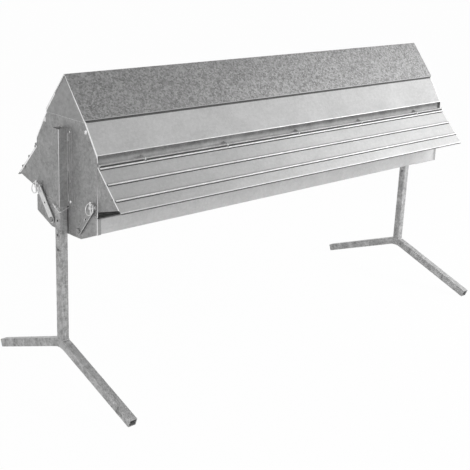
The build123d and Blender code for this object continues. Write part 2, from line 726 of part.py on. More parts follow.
def linch_ring():
    """A wire ring through the linch pin's head, hanging round the stud's end."""
    s, z = STRAP_STUD
    tilt = radians(RING_TILT)
    centre = (LINCH_X + RING_R * sin(tilt), s, z + RING_UP - RING_R * cos(tilt))
    return Plane(centre, z_dir=(cos(tilt), 0, sin(tilt))) * Torus(RING_R, RING_WIRE_R)


# Write every node

nodes = {}

for name, piece in zip(("right", "left"), both_ends(end_plate())):
    nodes["end_plate_" + name] = piece
for name, piece in zip(("right", "left"), both_ends(trough_cap())):
    nodes["trough_cap_" + name] = piece
for name, piece in zip(("right", "left"), both_ends(roof_gable())):
    nodes["roof_gable_" + name] = piece
for name, piece in zip(("right", "left"), both_ends(leg_sleeve())):
    nodes["leg_sleeve_" + name] = piece
for name, piece in zip(("right", "left"), both_ends(foot())):
    nodes["foot_" + name] = piece
for name, piece in zip(("right", "left"), both_ends(post(foot()))):
    nodes["post_" + name] = piece
for name, piece in zip(("right", "left"), both_ends(leg_pin())):
    nodes["leg_pin_" + name] = piece

for name, piece in zip(("rear", "front"), both_sides(side_panel())):
    nodes["side_panel_" + name] = piece
for name, piece in zip(("rear", "front"), both_sides(hinge_rail())):
    nodes["hinge_rail_" + name] = piece
for name, piece in zip(("rear", "front"), both_sides(hopper_floor())):
    nodes["hopper_floor_" + name] = piece
for name, piece in zip(("rear", "front"), both_sides(feed_gate())):
    nodes["feed_gate_" + name] = piece
for name, piece in zip(("rear", "front"), both_sides(flap_rod())):
    nodes["flap_rod_" + name] = piece
for name, piece in zip(("rear", "front"), both_sides(flap())):
    nodes["flap_" + name] = piece
for name, piece in zip(("rear", "front"), both_sides(group(*both_ends(flap_cheek())))):
    nodes["flap_cheeks_" + name] = piece

nodes["trough"] = trough()
nodes["roof_sheet"] = roof_sheet()
nodes["inner_braces"] = group(*[inner_brace(x) for x in BRACE_X])
nodes["lid_hinge_upper_leaves"] = group(*[upper_leaf(x) for x in HINGE_X])
nodes["lid_hinge_lower_leaves"] = group(*[lower_leaf(x) for x in HINGE_X])
nodes["lid_hinge_pins"] = group(*[lid_hinge_pin(x) for x in HINGE_X])
nodes["gate_bolts"] = group(*[piece for x in GATE_BOLT_X for piece in both_sides(gate_bolt(x))])
nodes["sleeve_rivets"] = group(*[piece for head in sleeve_rivets() for piece in both_ends(head)])
nodes["eave_bolts"] = group(*[piece for side in (-1, 1) for piece in both_ends(eave_bolt(side))])
nodes["strap_studs"] = group(*all_corners(strap_stud()))
nodes["strap_bolts"] = group(*all_corners(strap_bolt()))

CORNERS = ("rear_right", "front_right", "rear_left", "front_left")
for name, piece in zip(CORNERS, all_corners(trough_strap())):
    nodes["trough_strap_" + name] = piece
for name, piece in zip(CORNERS, all_corners(linch_pin())):
    nodes["linch_pin_" + name] = piece
for name, piece in zip(CORNERS, all_corners(linch_ring())):
    nodes["linch_ring_" + name] = piece

os.makedirs("parts", exist_ok=True)
for name, shape in nodes.items():
    export_step(shape, "parts/" + name + ".step")
print(len(nodes), "nodes written")
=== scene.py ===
"""A galvanised lamb feeder: a double-sided hopper with ribbed flaps, over a trough, on two legs.

X runs along the hopper, -Y is the front and +Z is up. Lengths are in metres.
A place in the cross-section is written (s, z): s is the distance from the middle, z the height.
"""

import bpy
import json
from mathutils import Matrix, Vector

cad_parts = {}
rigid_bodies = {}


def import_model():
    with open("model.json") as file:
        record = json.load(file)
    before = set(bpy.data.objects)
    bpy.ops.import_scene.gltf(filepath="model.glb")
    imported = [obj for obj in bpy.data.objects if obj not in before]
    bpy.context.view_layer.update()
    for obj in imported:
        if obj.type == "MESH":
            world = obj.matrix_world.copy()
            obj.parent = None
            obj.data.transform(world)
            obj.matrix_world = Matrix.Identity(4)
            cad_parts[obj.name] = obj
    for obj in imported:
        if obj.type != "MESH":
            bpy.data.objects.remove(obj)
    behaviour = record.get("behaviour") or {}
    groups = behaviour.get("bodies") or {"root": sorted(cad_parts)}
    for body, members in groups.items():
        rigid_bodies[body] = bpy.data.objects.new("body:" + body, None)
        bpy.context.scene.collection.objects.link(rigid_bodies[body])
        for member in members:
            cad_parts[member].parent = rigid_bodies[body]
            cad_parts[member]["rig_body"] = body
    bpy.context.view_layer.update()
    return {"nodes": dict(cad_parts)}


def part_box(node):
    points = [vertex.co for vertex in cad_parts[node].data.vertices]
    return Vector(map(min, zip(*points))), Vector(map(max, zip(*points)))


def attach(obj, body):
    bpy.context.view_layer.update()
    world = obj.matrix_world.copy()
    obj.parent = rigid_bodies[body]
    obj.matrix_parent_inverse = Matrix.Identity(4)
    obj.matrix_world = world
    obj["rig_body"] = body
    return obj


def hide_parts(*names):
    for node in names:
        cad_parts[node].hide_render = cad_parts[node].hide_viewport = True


bl_info = {
    "name": "Lamb feeder",
    "version": (1, 0, 0),
    "blender": (4, 5, 0),
    "location": "3D View > Sidebar > Lamb feeder",
    "description": "Dresses the lamb feeder's parts with sheet metal, welds, fasteners and zinc finishes",
    "category": "Object",
}

import json
from math import atan2, cos, pi, radians, sin, tan

import bmesh
import bpy
from mathutils import Quaternion, Vector
from mathutils.geometry import delaunay_2d_cdt

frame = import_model()

ENDS = {"left": -1, "right": 1}
SIDES = {"front": -1, "rear": 1}

# Hopper: places in the cross-section, and faces along X
PLATE_FACE_X = 0.899
PLATE = 0.002
PANEL_TOP = (0.103, 0.940)
PANEL_LOW = (0.172, 0.835)
PLATE_HALF = [(0.160, 0.600), (0.160, 0.636), (0.172, 0.636), PANEL_LOW, PANEL_TOP, (0.01336, 1.048)]
PLATE_SLOPE_EDGES = (3, 7)
PLATE_FOLD_X = 0.017
PLATE_FOLD_S = (0.170, 0.172)
PLATE_FOLD_TOP_Z = 0.795
PLATE_FOLD_UP = 0.004
APEX = (0.0, 1.068)
EAVE = (0.110, 0.936)
ROOF_END = 0.002
EAVE_LINE = 0.0020
GABLE_LOW_Z = 0.929
GABLE_GAP = 0.0005
GABLE_LINE = 0.0005
PANEL_TOP_RETURN = 0.015
PANEL_FOLD = 0.022
PANEL_SHADE = 0.0140
PANEL_SHADE_STOP = 0.002
PANEL_RIM = 0.0034
PANEL_LEAST_AREA = 0.002
TAB_S = (0.0010, 0.024)
TAB_HALF = 0.020

# Flaps and their cheeks
ROD = (0.180, 0.806)
BEAD_R = 0.0056
BEAD_BORE_R = 0.0044
FLAP_TILT = radians(-46)
FLAP_LENGTH = 0.174
CHEEK_LENGTH = 0.159
CHEEK_LOW_Z = 0.656
FLAP_X = 0.8984
FLAP_SHEET = 0.0012
FLAP_ROWS = 232
RIB_PLACES = (0.010, 0.0685, 0.127)
RIB_CREST = 0.003
RIB_STEEP_FOOT = 0.0048
# Bands of painted light and shade round each rib and at the lip: a painted highlight on the crest, painted
# shade at the rib's foot and above the rib, and painted shade on the lip's edge and the bead's lower side.
RIB_HIGHLIGHT_BAND = (-0.0016, 0.0028)
RIB_FOOT_SHADE_BAND = (0.0028, 0.0052)
RIB_UPPER_SHADE_BAND = (-0.0070, -0.0016)
LIP_SHADE_BAND = 0.0034
LIP_HIGHLIGHT_BAND = 0.0070
BEAD_SHADE_START = 0.0030
BEAD_SHORT = 0.0017
HEM_SHORT = 0.0024
HEM = ((0.0060, -0.0002), (0.0060, 0.0012), (0.0010, 0.0012), (0.0003, 0.0009), (0.0, 0.0),
       (0.0003, -0.0009), (0.0010, -0.0012))
EAR_X = (-0.720, -0.360, 0.0, 0.360, 0.720)
EAR_HALF = 0.004
EAR_DEPTH = 0.011
CHEEK_HOLE = (0.2489, 0.7151, 0.0034)
CHEEK_GAP = 0.0018
CHEEK_LOW_S = 0.1764
CHEEK_BAND = 0.0045

# Trough and its end caps
TROUGH_LINE = [(0.172, 0.632), (0.172, 0.580), (0.085, 0.544)]
TROUGH_LIP = 0.010
CAP_TOP_Z = 0.640
CAP_TOP_S = 0.164
CAP_SHOULDER_Z = 0.634
CAP_CORNER = 0.004
CAP_BAND = 0.0012
CAP_FLANGE = 0.013

# Sleeves, fasteners, posts and welds
SLEEVE_FACE_X = 0.9015
SLEEVE_LINE = 0.0045
RIVET_PLACES = [(0.029, 0.655), (0.029, 0.724), (0.029, 0.886)]
RIVET_SINK = 0.0002
EAVE_BOLT = (0.115, 0.901)
EAVE_NUT_X = 0.892
POST_X = 0.920
POST_HALF = 0.015
POST_CORNER = 0.003
CROWN_R = 0.110
SPATTER_UP = 0.020
STITCHES_Z = (0.668, 0.768, 0.868)
STITCH_HALF = 0.012
STITCH_S = 0.0182
STITCH_OUT = 0.0008

# Shares that shape a fastener's dome and a weld's drops
DOME_SHARE = 0.92
DROP_FLATNESS = 0.75
DROP_SIZES = (0.78, 1.12)

DOUBLES = 1e-6

# Plain geometry in the cross-section


def step(place, angle, along, across=0.0):
    """Go from a place along a direction, then to its left."""
    return (place[0] + along * cos(angle) - across * sin(angle),
            place[1] + along * sin(angle) + across * cos(angle))


def mirrored(points):
    """The same places on the other side of the middle, in reverse order."""
    return [(-s, z) for s, z in reversed(points)]


def left_of(points, distance):
    """The line that runs beside a line of points, on its left."""
    headings = [atan2(b[1] - a[1], b[0] - a[0]) for a, b in zip(points, points[1:])]
    result = []
    for i, (s, z) in enumerate(points):
        before = headings[max(i - 1, 0)]
        after = headings[min(i, len(headings) - 1)]
        scale = distance / (1 + cos(before - after))
        result.append((s - scale * (sin(before) + sin(after)), z + scale * (cos(before) + cos(after))))
    return result


def rounded(points, radius, steps=6):
    """The same line of points, with an arc in place of each corner."""
    line = [points[0]]
    for before, corner, after in zip(points, points[1:], points[2:]):
        corner = Vector(corner)
        back = (Vector(before) - corner).normalized()
        on = (Vector(after) - corner).normalized()
        half = back.angle(on) / 2
        if half > 0.499 * pi:
            line.append(tuple(corner))
            continue
        reach = min(radius / tan(half), 0.45 * min((Vector(before) - corner).length,
                                                   (Vector(after) - corner).length))
        centre = corner + (back + on).normalized() * reach / cos(half)
        first = corner + back * reach - centre
        last = corner + on * reach - centre
        start = atan2(first.y, first.x)
        turn = (atan2(last.y, last.x) - start + pi) % (2 * pi) - pi
        for i in range(steps + 1):
            angle = start + turn * i / steps
            line.append((centre.x + first.length * cos(angle), centre.y + first.length * sin(angle)))
    return line + [points[-1]]


def circle(place, radius, count=24):
    """Points round a circle in the cross-section."""
    return [(place[0] + radius * cos(2 * pi * i / count), place[1] + radius * sin(2 * pi * i / count))
            for i in range(count)]


# Meshes and objects


def link(name, mesh):
    """An object for a mesh, in the scene, at the origin."""
    obj = bpy.data.objects.new(name, mesh)
    bpy.context.scene.collection.objects.link(obj)
    return obj


def kept_mesh(name, bm):
    """A mesh that takes over what was drawn."""
    mesh = bpy.data.meshes.new(name)
    bm.to_mesh(mesh)
    bm.free()
    return mesh


def finished_mesh(name, bm, finishes, sharp=32):
    """A mesh from a closed shape, facing outwards and smooth except at its sharp edges."""
    bmesh.ops.remove_doubles(bm, verts=bm.verts, dist=DOUBLES)
    bmesh.ops.recalc_face_normals(bm, faces=bm.faces)
    for face in bm.faces:
        face.smooth = True
    mesh = kept_mesh(name, bm)
    for label in finishes:
        mesh.materials.append(finish(label))
    mesh.set_sharp_from_angle(angle=radians(sharp))
    return mesh


def to_side(bm, sign):
    """Move what was drawn for the rear to the front when the sign is -1."""
    for vert in bm.verts:
        vert.co.y *= sign


def settle(obj, body, slot, *nodes):
    """Put a finished piece on its body in place of the nodes that it stands for. Its slot is not used."""
    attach(obj, body)
    if nodes:
        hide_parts(*nodes)


def settle_drawn(name, bm, finishes, body, slot, *nodes):
    """Finish what was drawn, and put it on its body in place of its nodes."""
    settle(link(name, finished_mesh(name, bm, finishes)), body, slot, *nodes)


def add_sheet(bm, line, thickness, radius, x_low, x_high):
    """Bent sheet along a line of places, its thickness to the left. Its cut edges use slot 1."""
    middle = rounded(left_of(line, thickness / 2), radius - thickness / 2)
    loop = left_of(middle, -thickness / 2) + left_of(middle, thickness / 2)[::-1]
    near, far = [[bm.verts.new((x, s, z)) for s, z in loop] for x in (x_low, x_high)]
    count = len(loop)
    half = count // 2
    for i in range(count):
        j = (i + 1) % count
        face = bm.faces.new((near[i], near[j], far[j], far[i]))
        face.material_index = int(i in (half - 1, count - 1))
    for ring in (near, far):
        for i in range(half - 1):
            face = bm.faces.new((ring[i], ring[i + 1], ring[count - 2 - i], ring[count - 1 - i]))
            face.material_index = 1


def inset(points, bands):
    """The same closed outline, with some edges moved inwards by their bands. It runs anticlockwise."""
    count = len(points)
    lines = []
    for i in range(count):
        a, b = Vector(points[i]), Vector(points[(i + 1) % count])
        along = (b - a).normalized()
        shift = Vector((-along.y, along.x)) * bands.get(i, 0.0)
        lines.append((a + shift, along))
    result = []
    for i in range(count):
        (p, u), (q, v) = lines[i - 1], lines[i]
        cross = u.x * v.y - u.y * v.x
        if abs(cross) < 1e-6:
            result.append(tuple(q))
            continue
        t = ((q.x - p.x) * v.y - (q.y - p.y) * v.x) / cross
        result.append(tuple(p + u * t))
    return result


def add_plate(bm, points, x_low, x_high, bands=None, holes=()):
    """A flat plate square to X. Its cut edge, and the bands inside some edges, use slot 1."""
    count = len(points)
    bands = bands or {}
    inner = inset(points, bands)
    rim = []
    for i in range(count):
        before, after = (i - 1) % count in bands, i in bands
        if after and not before:
            rim.append(inner[i])
        rim.append(points[i])
        if before and not after:
            rim.append(inner[i])
    outlines = [rim] + [circle(hole[:2], hole[2]) for hole in holes]
    filling = [inner] + outlines[1:]
    places, edges = [], []
    for outline in filling:
        first, size = len(places), len(outline)
        places += [Vector(place) for place in outline]
        edges += [(first + i, first + (i + 1) % size) for i in range(size)]
    places, _, triangles, *_ = delaunay_2d_cdt(places, edges, [], 1, 1e-7)
    centres = [sum((places[k] for k in triangle), Vector((0.0, 0.0))) / 3 for triangle in triangles]
    for x in (x_low, x_high):
        for i in bands:
            j = (i + 1) % count
            corners = (points[i], points[j], inner[j], inner[i])
            bm.faces.new([bm.verts.new((x, s, z)) for s, z in corners]).material_index = 1
        for triangle, centre in zip(triangles, centres):
            if all((centre - Vector(hole[:2])).length > hole[2] for hole in holes):
                bm.faces.new([bm.verts.new((x, *places[k])) for k in triangle])
    for outline in outlines:
        rings = [[bm.verts.new((x, s, z)) for s, z in outline] for x in (x_low, x_high)]
        for i in range(len(outline)):
            corners = (rings[0][i - 1], rings[0][i], rings[1][i], rings[1][i - 1])
            bm.faces.new(corners).material_index = 1


def add_box(bm, x_range, s_range, z_range):
    """A plain block between two places along each axis."""
    ranges = (x_range, s_range, z_range)
    made = bmesh.ops.create_cube(bm, size=1.0)
    for vert in made["verts"]:
        vert.co = [low + (high - low) * (c + 0.5) for (low, high), c in zip(ranges, vert.co)]


def add_tube(bm, x_low, x_high, place, outer, inner, count=28):
    """A hollow round tube along X."""
    rings = []
    for x, radius in ((x_low, inner), (x_low, outer), (x_high, outer), (x_high, inner)):
        rings.append([bm.verts.new((x, s, z)) for s, z in circle(place, radius, count)])
    for near, far in zip(rings, rings[1:] + rings[:1]):
        for i in range(count):
            j = (i + 1) % count
            bm.faces.new((near[i], near[j], far[j], far[i]))


def softened(node, width, finishes, corners, segments=2, angle=35):
    """A copy of a node's mesh with rounded edges. They, and a sleeve's upright corners and its foot band,
    use slot 1, a lighter finish painted as their highlight.
    """
    bm = bmesh.new()
    bm.from_mesh(frame["nodes"][node].data)
    bmesh.ops.remove_doubles(bm, verts=bm.verts, dist=2e-6)
    bmesh.ops.dissolve_limit(bm, angle_limit=radians(0.3), verts=bm.verts, edges=bm.edges)
    foot_x = SLEEVE_FACE_X + SLEEVE_LINE
    for sign in ENDS.values() if corners else ():
        bmesh.ops.bisect_plane(bm, geom=bm.verts[:] + bm.edges[:] + bm.faces[:], dist=DOUBLES,
                               plane_co=(sign * foot_x, 0, 0), plane_no=(1, 0, 0))
    bm.normal_update()
    for face in bm.faces:
        upright = abs(face.normal.z) < 0.1 and corners
        slanted = max(abs(face.normal.x), abs(face.normal.y)) < 0.97
        middle = face.calc_center_median()
        at_foot = abs(face.normal.y) > 0.97 and SLEEVE_FACE_X < abs(middle.x) < foot_x
        face.material_index = int(upright and (slanted or at_foot))
    sharp = [e for e in bm.edges if e.is_manifold and e.calc_face_angle(0.0) > radians(angle)]
    bmesh.ops.bevel(bm, geom=sharp, offset=width, offset_type="OFFSET", segments=segments, profile=0.5,
                    affect="EDGES", clamp_overlap=True, material=1)
    return finished_mesh(node + "_softened", bm, finishes, sharp=angle)


# Node trees


def add(tree, kind, values=None, **settings):
    """Add a node. A value that is a socket is linked to its input, and any other is set on it."""
    node = tree.nodes.new(kind)
    for key, value in settings.items():
        setattr(node, key, value)
    for key, value in (values or {}).items():
        if isinstance(value, bpy.types.NodeSocket):
            tree.links.new(value, node.inputs[key])
        else:
            node.inputs[key].default_value = value
    return node


def maths(tree, operation, *values):
    """Add a maths node and return its result."""
    return add(tree, "ShaderNodeMath", dict(enumerate(values)), operation=operation).outputs[0]


def xyz(tree, **values):
    """Add a vector with some of its three parts given, and return it."""
    return add(tree, "ShaderNodeCombineXYZ", values).outputs[0]


def part_of(tree, vector, axis):
    """Return one part of a vector."""
    return add(tree, "ShaderNodeSeparateXYZ", {0: vector}).outputs[axis]


def new_tree(name, inputs):
    """A geometry tree with named inputs, its group input and its group output."""
    tree = bpy.data.node_groups.new(name, "GeometryNodeTree")
    tree.interface.new_socket(name="Geometry", in_out="INPUT", socket_type="NodeSocketGeometry")
    for label, kind, value in inputs:
        socket = tree.interface.new_socket(name=label, in_out="INPUT", socket_type="NodeSocket" + kind)
        if value is not None:
            socket.default_value = value
    tree.interface.new_socket(name="Geometry", in_out="OUTPUT", socket_type="NodeSocketGeometry")
    return tree, tree.nodes.new("NodeGroupInput"), tree.nodes.new("NodeGroupOutput")


def close_tree(tree, group_in, group_out, geometry):
    """End a tree in realised geometry with its material set."""
    real = add(tree, "GeometryNodeRealizeInstances", {"Geometry": geometry})
    done = add(tree, "GeometryNodeSetMaterial", {
        "Geometry": real.outputs[0], "Material": group_in.outputs["Material"]})
    tree.links.new(done.outputs[0], group_out.inputs["Geometry"])
    return tree


def grown(name, mesh, tree, values):
    """Run a tree on a mesh, and keep what it makes as an object with a plain mesh."""
    obj = link(name, mesh)
    modifier = obj.modifiers.new("Form", "NODES")
    modifier.node_group = tree
    for item in tree.interface.items_tree:
        if item.item_type == "SOCKET" and item.in_out == "INPUT" and item.name in values:
            modifier[item.identifier] = values[item.name]
    depsgraph = bpy.context.evaluated_depsgraph_get()
    made = bpy.data.meshes.new_from_object(obj.evaluated_get(depsgraph), depsgraph=depsgraph)
    obj.modifiers.clear()
    obj.data = made
    if not made.polygons:
        raise RuntimeError("the tree made nothing for " + name)
    made.polygons.foreach_set("use_smooth", [True] * len(made.polygons))
    made.set_sharp_from_angle(angle=radians(40))
    return obj


def point_mesh(name, points, closed=None):
    """A mesh of loose points, or of one line through them when closed is given."""
    mesh = bpy.data.meshes.new(name)
    edges = []
    if closed is not None:
        edges = [(i, i + 1) for i in range(len(points) - 1)]
        if closed:
            edges.append((len(points) - 1, 0))
    mesh.from_pydata(points, edges, [])
    return mesh


def ribs_tree():
    """Press ribs into a flat sheet, whose length runs along X and depth along Y. A rib is steep below."""
    ribs = ("First rib", "Second rib", "Third rib")
    tree, start, end = new_tree("Pressed ribs", [
        (label, "Float", place) for label, place in zip(ribs, RIB_PLACES)] + [
        ("Rib width", "Float", 0.016), ("Crest", "Float", RIB_CREST), ("Rib height", "Float", 0.006),
        ("Steep foot", "Float", RIB_STEEP_FOOT), ("Thickness", "Float", FLAP_SHEET),
        ("Material", "Material", None)])
    place = add(tree, "GeometryNodeInputPosition").outputs[0]
    along = part_of(tree, place, "Y")
    foot = maths(tree, "MULTIPLY", start.outputs["Rib width"], -0.5)
    crest = maths(tree, "MULTIPLY", start.outputs["Crest"], 0.5)
    crest_above = maths(tree, "MULTIPLY", crest, -1.0)
    rise = None
    for label in ribs:
        gap = maths(tree, "SUBTRACT", along, start.outputs[label])
        upper = add(tree, "ShaderNodeMapRange", {
            "Value": gap, "From Min": foot, "From Max": crest_above},
            interpolation_type="SMOOTHSTEP").outputs[0]
        lower = add(tree, "ShaderNodeMapRange", {
            "Value": gap, "From Min": crest, "From Max": start.outputs["Steep foot"],
            "To Min": 1.0, "To Max": 0.0}, interpolation_type="SMOOTHSTEP").outputs[0]
        bump = maths(tree, "MULTIPLY", upper, lower)
        rise = bump if rise is None else maths(tree, "ADD", rise, bump)
    height = maths(tree, "MULTIPLY", rise, start.outputs["Rib height"])
    offset = xyz(tree, Z=height)
    face = add(tree, "GeometryNodeSetPosition", {"Geometry": start.outputs["Geometry"], "Offset": offset})
    under = maths(tree, "MULTIPLY", start.outputs["Thickness"], -1.0)
    pulled = add(tree, "GeometryNodeExtrudeMesh", {
        "Mesh": face.outputs[0], "Offset Scale": under, "Individual": False}, mode="FACES")
    back = add(tree, "GeometryNodeFlipFaces", {"Mesh": face.outputs[0]})
    both = add(tree, "GeometryNodeJoinGeometry")
    tree.links.new(pulled.outputs["Mesh"], both.inputs[0])
    tree.links.new(back.outputs["Mesh"], both.inputs[0])
    whole = add(tree, "GeometryNodeMergeByDistance", {"Geometry": both.outputs[0], "Distance": DOUBLES})
    return close_tree(tree, start, end, whole.outputs[0])


def heads_tree():
    """Fastener heads on points. A head is a prism with a domed top, on a washer, and faces along X."""
    tree, start, end = new_tree("Fastener heads", [
        ("Sides", "Int", 6), ("Radius", "Float", 0.006), ("Height", "Float", 0.003),
        ("Dome", "Float", 0.0006), ("Washer radius", "Float", 0.007), ("Washer", "Float", 0.0008),
        ("Seed", "Int", 3), ("Material", "Material", None)])
    half = maths(tree, "MULTIPLY", start.outputs["Height"], 0.5)
    body = add(tree, "GeometryNodeMeshCylinder", {
        "Vertices": start.outputs["Sides"], "Radius": start.outputs["Radius"],
        "Depth": start.outputs["Height"]})
    lift = xyz(tree, Z=half)
    body_up = add(tree, "GeometryNodeTransform", {"Geometry": body.outputs[0], "Translation": lift})
    ball = add(tree, "GeometryNodeMeshUVSphere", {
        "Segments": 24, "Rings": 12, "Radius": start.outputs["Radius"]})
    flat = maths(tree, "DIVIDE", start.outputs["Dome"], start.outputs["Radius"])
    squash = xyz(tree, X=DOME_SHARE, Y=DOME_SHARE, Z=flat)
    top = xyz(tree, Z=start.outputs["Height"])
    dome = add(tree, "GeometryNodeTransform", {
        "Geometry": ball.outputs[0], "Translation": top, "Scale": squash})
    disc = add(tree, "GeometryNodeMeshCylinder", {
        "Vertices": 24, "Radius": start.outputs["Washer radius"], "Depth": start.outputs["Washer"]})
    head = add(tree, "GeometryNodeJoinGeometry")
    for piece in (body_up, dome, disc):
        tree.links.new(piece.outputs[0], head.inputs[0])
    spin = add(tree, "FunctionNodeRandomValue", {
        2: -pi, 3: pi, "Seed": start.outputs["Seed"]}, data_type="FLOAT")
    place = add(tree, "GeometryNodeInputPosition").outputs[0]
    sign = maths(tree, "SIGN", part_of(tree, place, "X"))
    lean = maths(tree, "MULTIPLY", sign, pi / 2)
    turn = xyz(tree, X=spin.outputs[1], Y=lean)
    spread = add(tree, "GeometryNodeInstanceOnPoints", {
        "Points": start.outputs["Geometry"], "Instance": head.outputs[0], "Rotation": turn})
    return close_tree(tree, start, end, spread.outputs[0])


def weld_tree():
    """A rippled weld bead along a line: overlapping flat drops, each a little different."""
    tree, start, end = new_tree("Weld bead", [
        ("Spacing", "Float", 0.0022), ("Bead radius", "Float", 0.0028), ("Seed", "Int", 5),
        ("Material", "Material", None)])
    curve = add(tree, "GeometryNodeMeshToCurve", {"Mesh": start.outputs["Geometry"]})
    even = add(tree, "GeometryNodeResampleCurve", {
        "Curve": curve.outputs[0], "Length": start.outputs["Spacing"]}, mode="LENGTH")
    ahead = add(tree, "GeometryNodeInputTangent").outputs[0]
    turn = add(tree, "FunctionNodeAlignRotationToVector", {"Vector": ahead}, axis="X")
    drop = add(tree, "GeometryNodeMeshUVSphere", {
        "Segments": 14, "Rings": 8, "Radius": start.outputs["Bead radius"]})
    flat = add(tree, "GeometryNodeTransform", {
        "Geometry": drop.outputs[0], "Scale": (DROP_FLATNESS, 1.0, 1.0)})
    size = add(tree, "FunctionNodeRandomValue", {
        2: DROP_SIZES[0], 3: DROP_SIZES[1], "Seed": start.outputs["Seed"]}, data_type="FLOAT")
    spread = add(tree, "GeometryNodeInstanceOnPoints", {
        "Points": even.outputs[0], "Instance": flat.outputs[0], "Rotation": turn.outputs[0],
        "Scale": size.outputs[1]})
    return close_tree(tree, start, end, spread.outputs[0])


def spatter_tree():
    """Small drops of weld spatter strewn over faces."""
    tree, start, end = new_tree("Weld spatter", [
        ("Density", "Float", 9000.0), ("Smallest", "Float", 0.0004), ("Largest", "Float", 0.0011),
        ("Seed", "Int", 7), ("Material", "Material", None)])
    points = add(tree, "GeometryNodeDistributePointsOnFaces", {
        "Mesh": start.outputs["Geometry"], "Density": start.outputs["Density"],
        "Seed": start.outputs["Seed"]})
    size = add(tree, "FunctionNodeRandomValue", {
        2: start.outputs["Smallest"], 3: start.outputs["Largest"], "Seed": start.outputs["Seed"]},
        data_type="FLOAT")
    drop = add(tree, "GeometryNodeMeshIcoSphere", {"Radius": 1.0, "Subdivisions": 2})
    spread = add(tree, "GeometryNodeInstanceOnPoints", {
        "Points": points.outputs[0], "Instance": drop.outputs[0], "Scale": size.outputs[1]})
    return close_tree(tree, start, end, spread.outputs[0])


# Finishes

# For each finish: spangle size, spangle, fleck, cloud size, cloud, roughness, its change and bump height.
# Some have drawn streaks, painted shade between two heights or another share of metal. Shares are parts of
# the colour.
FINISHES = {
    "spangled_roof": dict(grain=0.0056, spangle=0.80, fleck=0.42, cloud_size=0.05, cloud=0.10, rough=0.42,
                          vary=0.12, bump=0.00012),
    "galvanised_sheet": dict(grain=0.008, spangle=0.10, fleck=0.09, cloud_size=0.12, cloud=0.08, rough=0.40,
                             vary=0.08, bump=0.00006, stretch=(0.05, 1, 1), streak=0.03),
    "panel_sheet": dict(grain=0.008, spangle=0.10, fleck=0.09, cloud_size=0.12, cloud=0.08, rough=0.64,
                        vary=0.08, bump=0.00006, stretch=(0.05, 1, 1), streak=0.03, metal=0.20),
    # The recess rails' sheet darkens towards the top: painted shade under the panel's fold.
    "recess_sheet": dict(grain=0.010, spangle=0.08, fleck=0.08, cloud_size=0.06, cloud=0.14, rough=0.50,
                         vary=0.08, bump=0.00008, painted_shade=(0.808, 0.824, 0.70)),
    # The trough's sheet is lighter than the other sheet as painted light on the trough wall.
    "trough_sheet": dict(grain=0.009, spangle=0.09, fleck=0.05, cloud_size=0.10, cloud=0.08, rough=0.42,
                         vary=0.08, bump=0.00008, stretch=(0.05, 1, 1), streak=0.02),
    # A lighter zinc painted as a highlight on rib crests, the flaps' lips, the panels' low folds and the
    # sleeves' corners.
    "rubbed_zinc": dict(grain=0.003, spangle=0.06, fleck=0.12, cloud_size=0.02, cloud=0.18, rough=0.44,
                        vary=0.10, bump=0.00004, metal=0.50),
    "galvanised_plate": dict(grain=0.008, spangle=0.30, fleck=0.20, cloud_size=0.05, cloud=0.18, rough=0.46,
                             vary=0.10, bump=0.00010, stretch=(1, 1, 0.12), streak=0.06),
    "dipped_tube": dict(grain=0.008, spangle=0.34, fleck=0.30, cloud_size=0.02, cloud=0.24, rough=0.44,
                        vary=0.12, bump=0.00016, stretch=(1, 0.10, 0.10), streak=0.30),
    "shaded_zinc": dict(grain=0.010, spangle=0.10, fleck=0.10, cloud_size=0.05, cloud=0.20, rough=0.66,
                        vary=0.08, bump=0.00008, metal=0.05),
    "dull_zinc": dict(grain=0.006, spangle=0.10, fleck=0.10, cloud_size=0.02, cloud=0.16, rough=0.42,
                      vary=0.10, bump=0.00008, metal=0.35),
    "bright_zinc": dict(grain=0.004, spangle=0.05, fleck=0.08, cloud_size=0.012, cloud=0.12, rough=0.30,
                        vary=0.10, bump=0.00004, metal=0.75),
    # Cut edges, and the bands along edges and seams that are painted bright as a highlight.
    "dressed_edge": dict(grain=0.003, spangle=0.04, fleck=0.08, cloud_size=0.02, cloud=0.14, rough=0.30,
                         vary=0.10, bump=0.00004, metal=0.80),
    "weld_metal": dict(grain=0.003, spangle=0.12, fleck=0.14, cloud_size=0.008, cloud=0.24, rough=0.38,
                       vary=0.14, bump=0.00020, metal=0.55),
}


def contrast(tree, value, amount):
    """Stretch a pattern that stays near one half, then weigh it, as an amount above or below nothing."""
    centred = maths(tree, "SUBTRACT", value, 0.5)
    return maths(tree, "MULTIPLY", centred, amount)


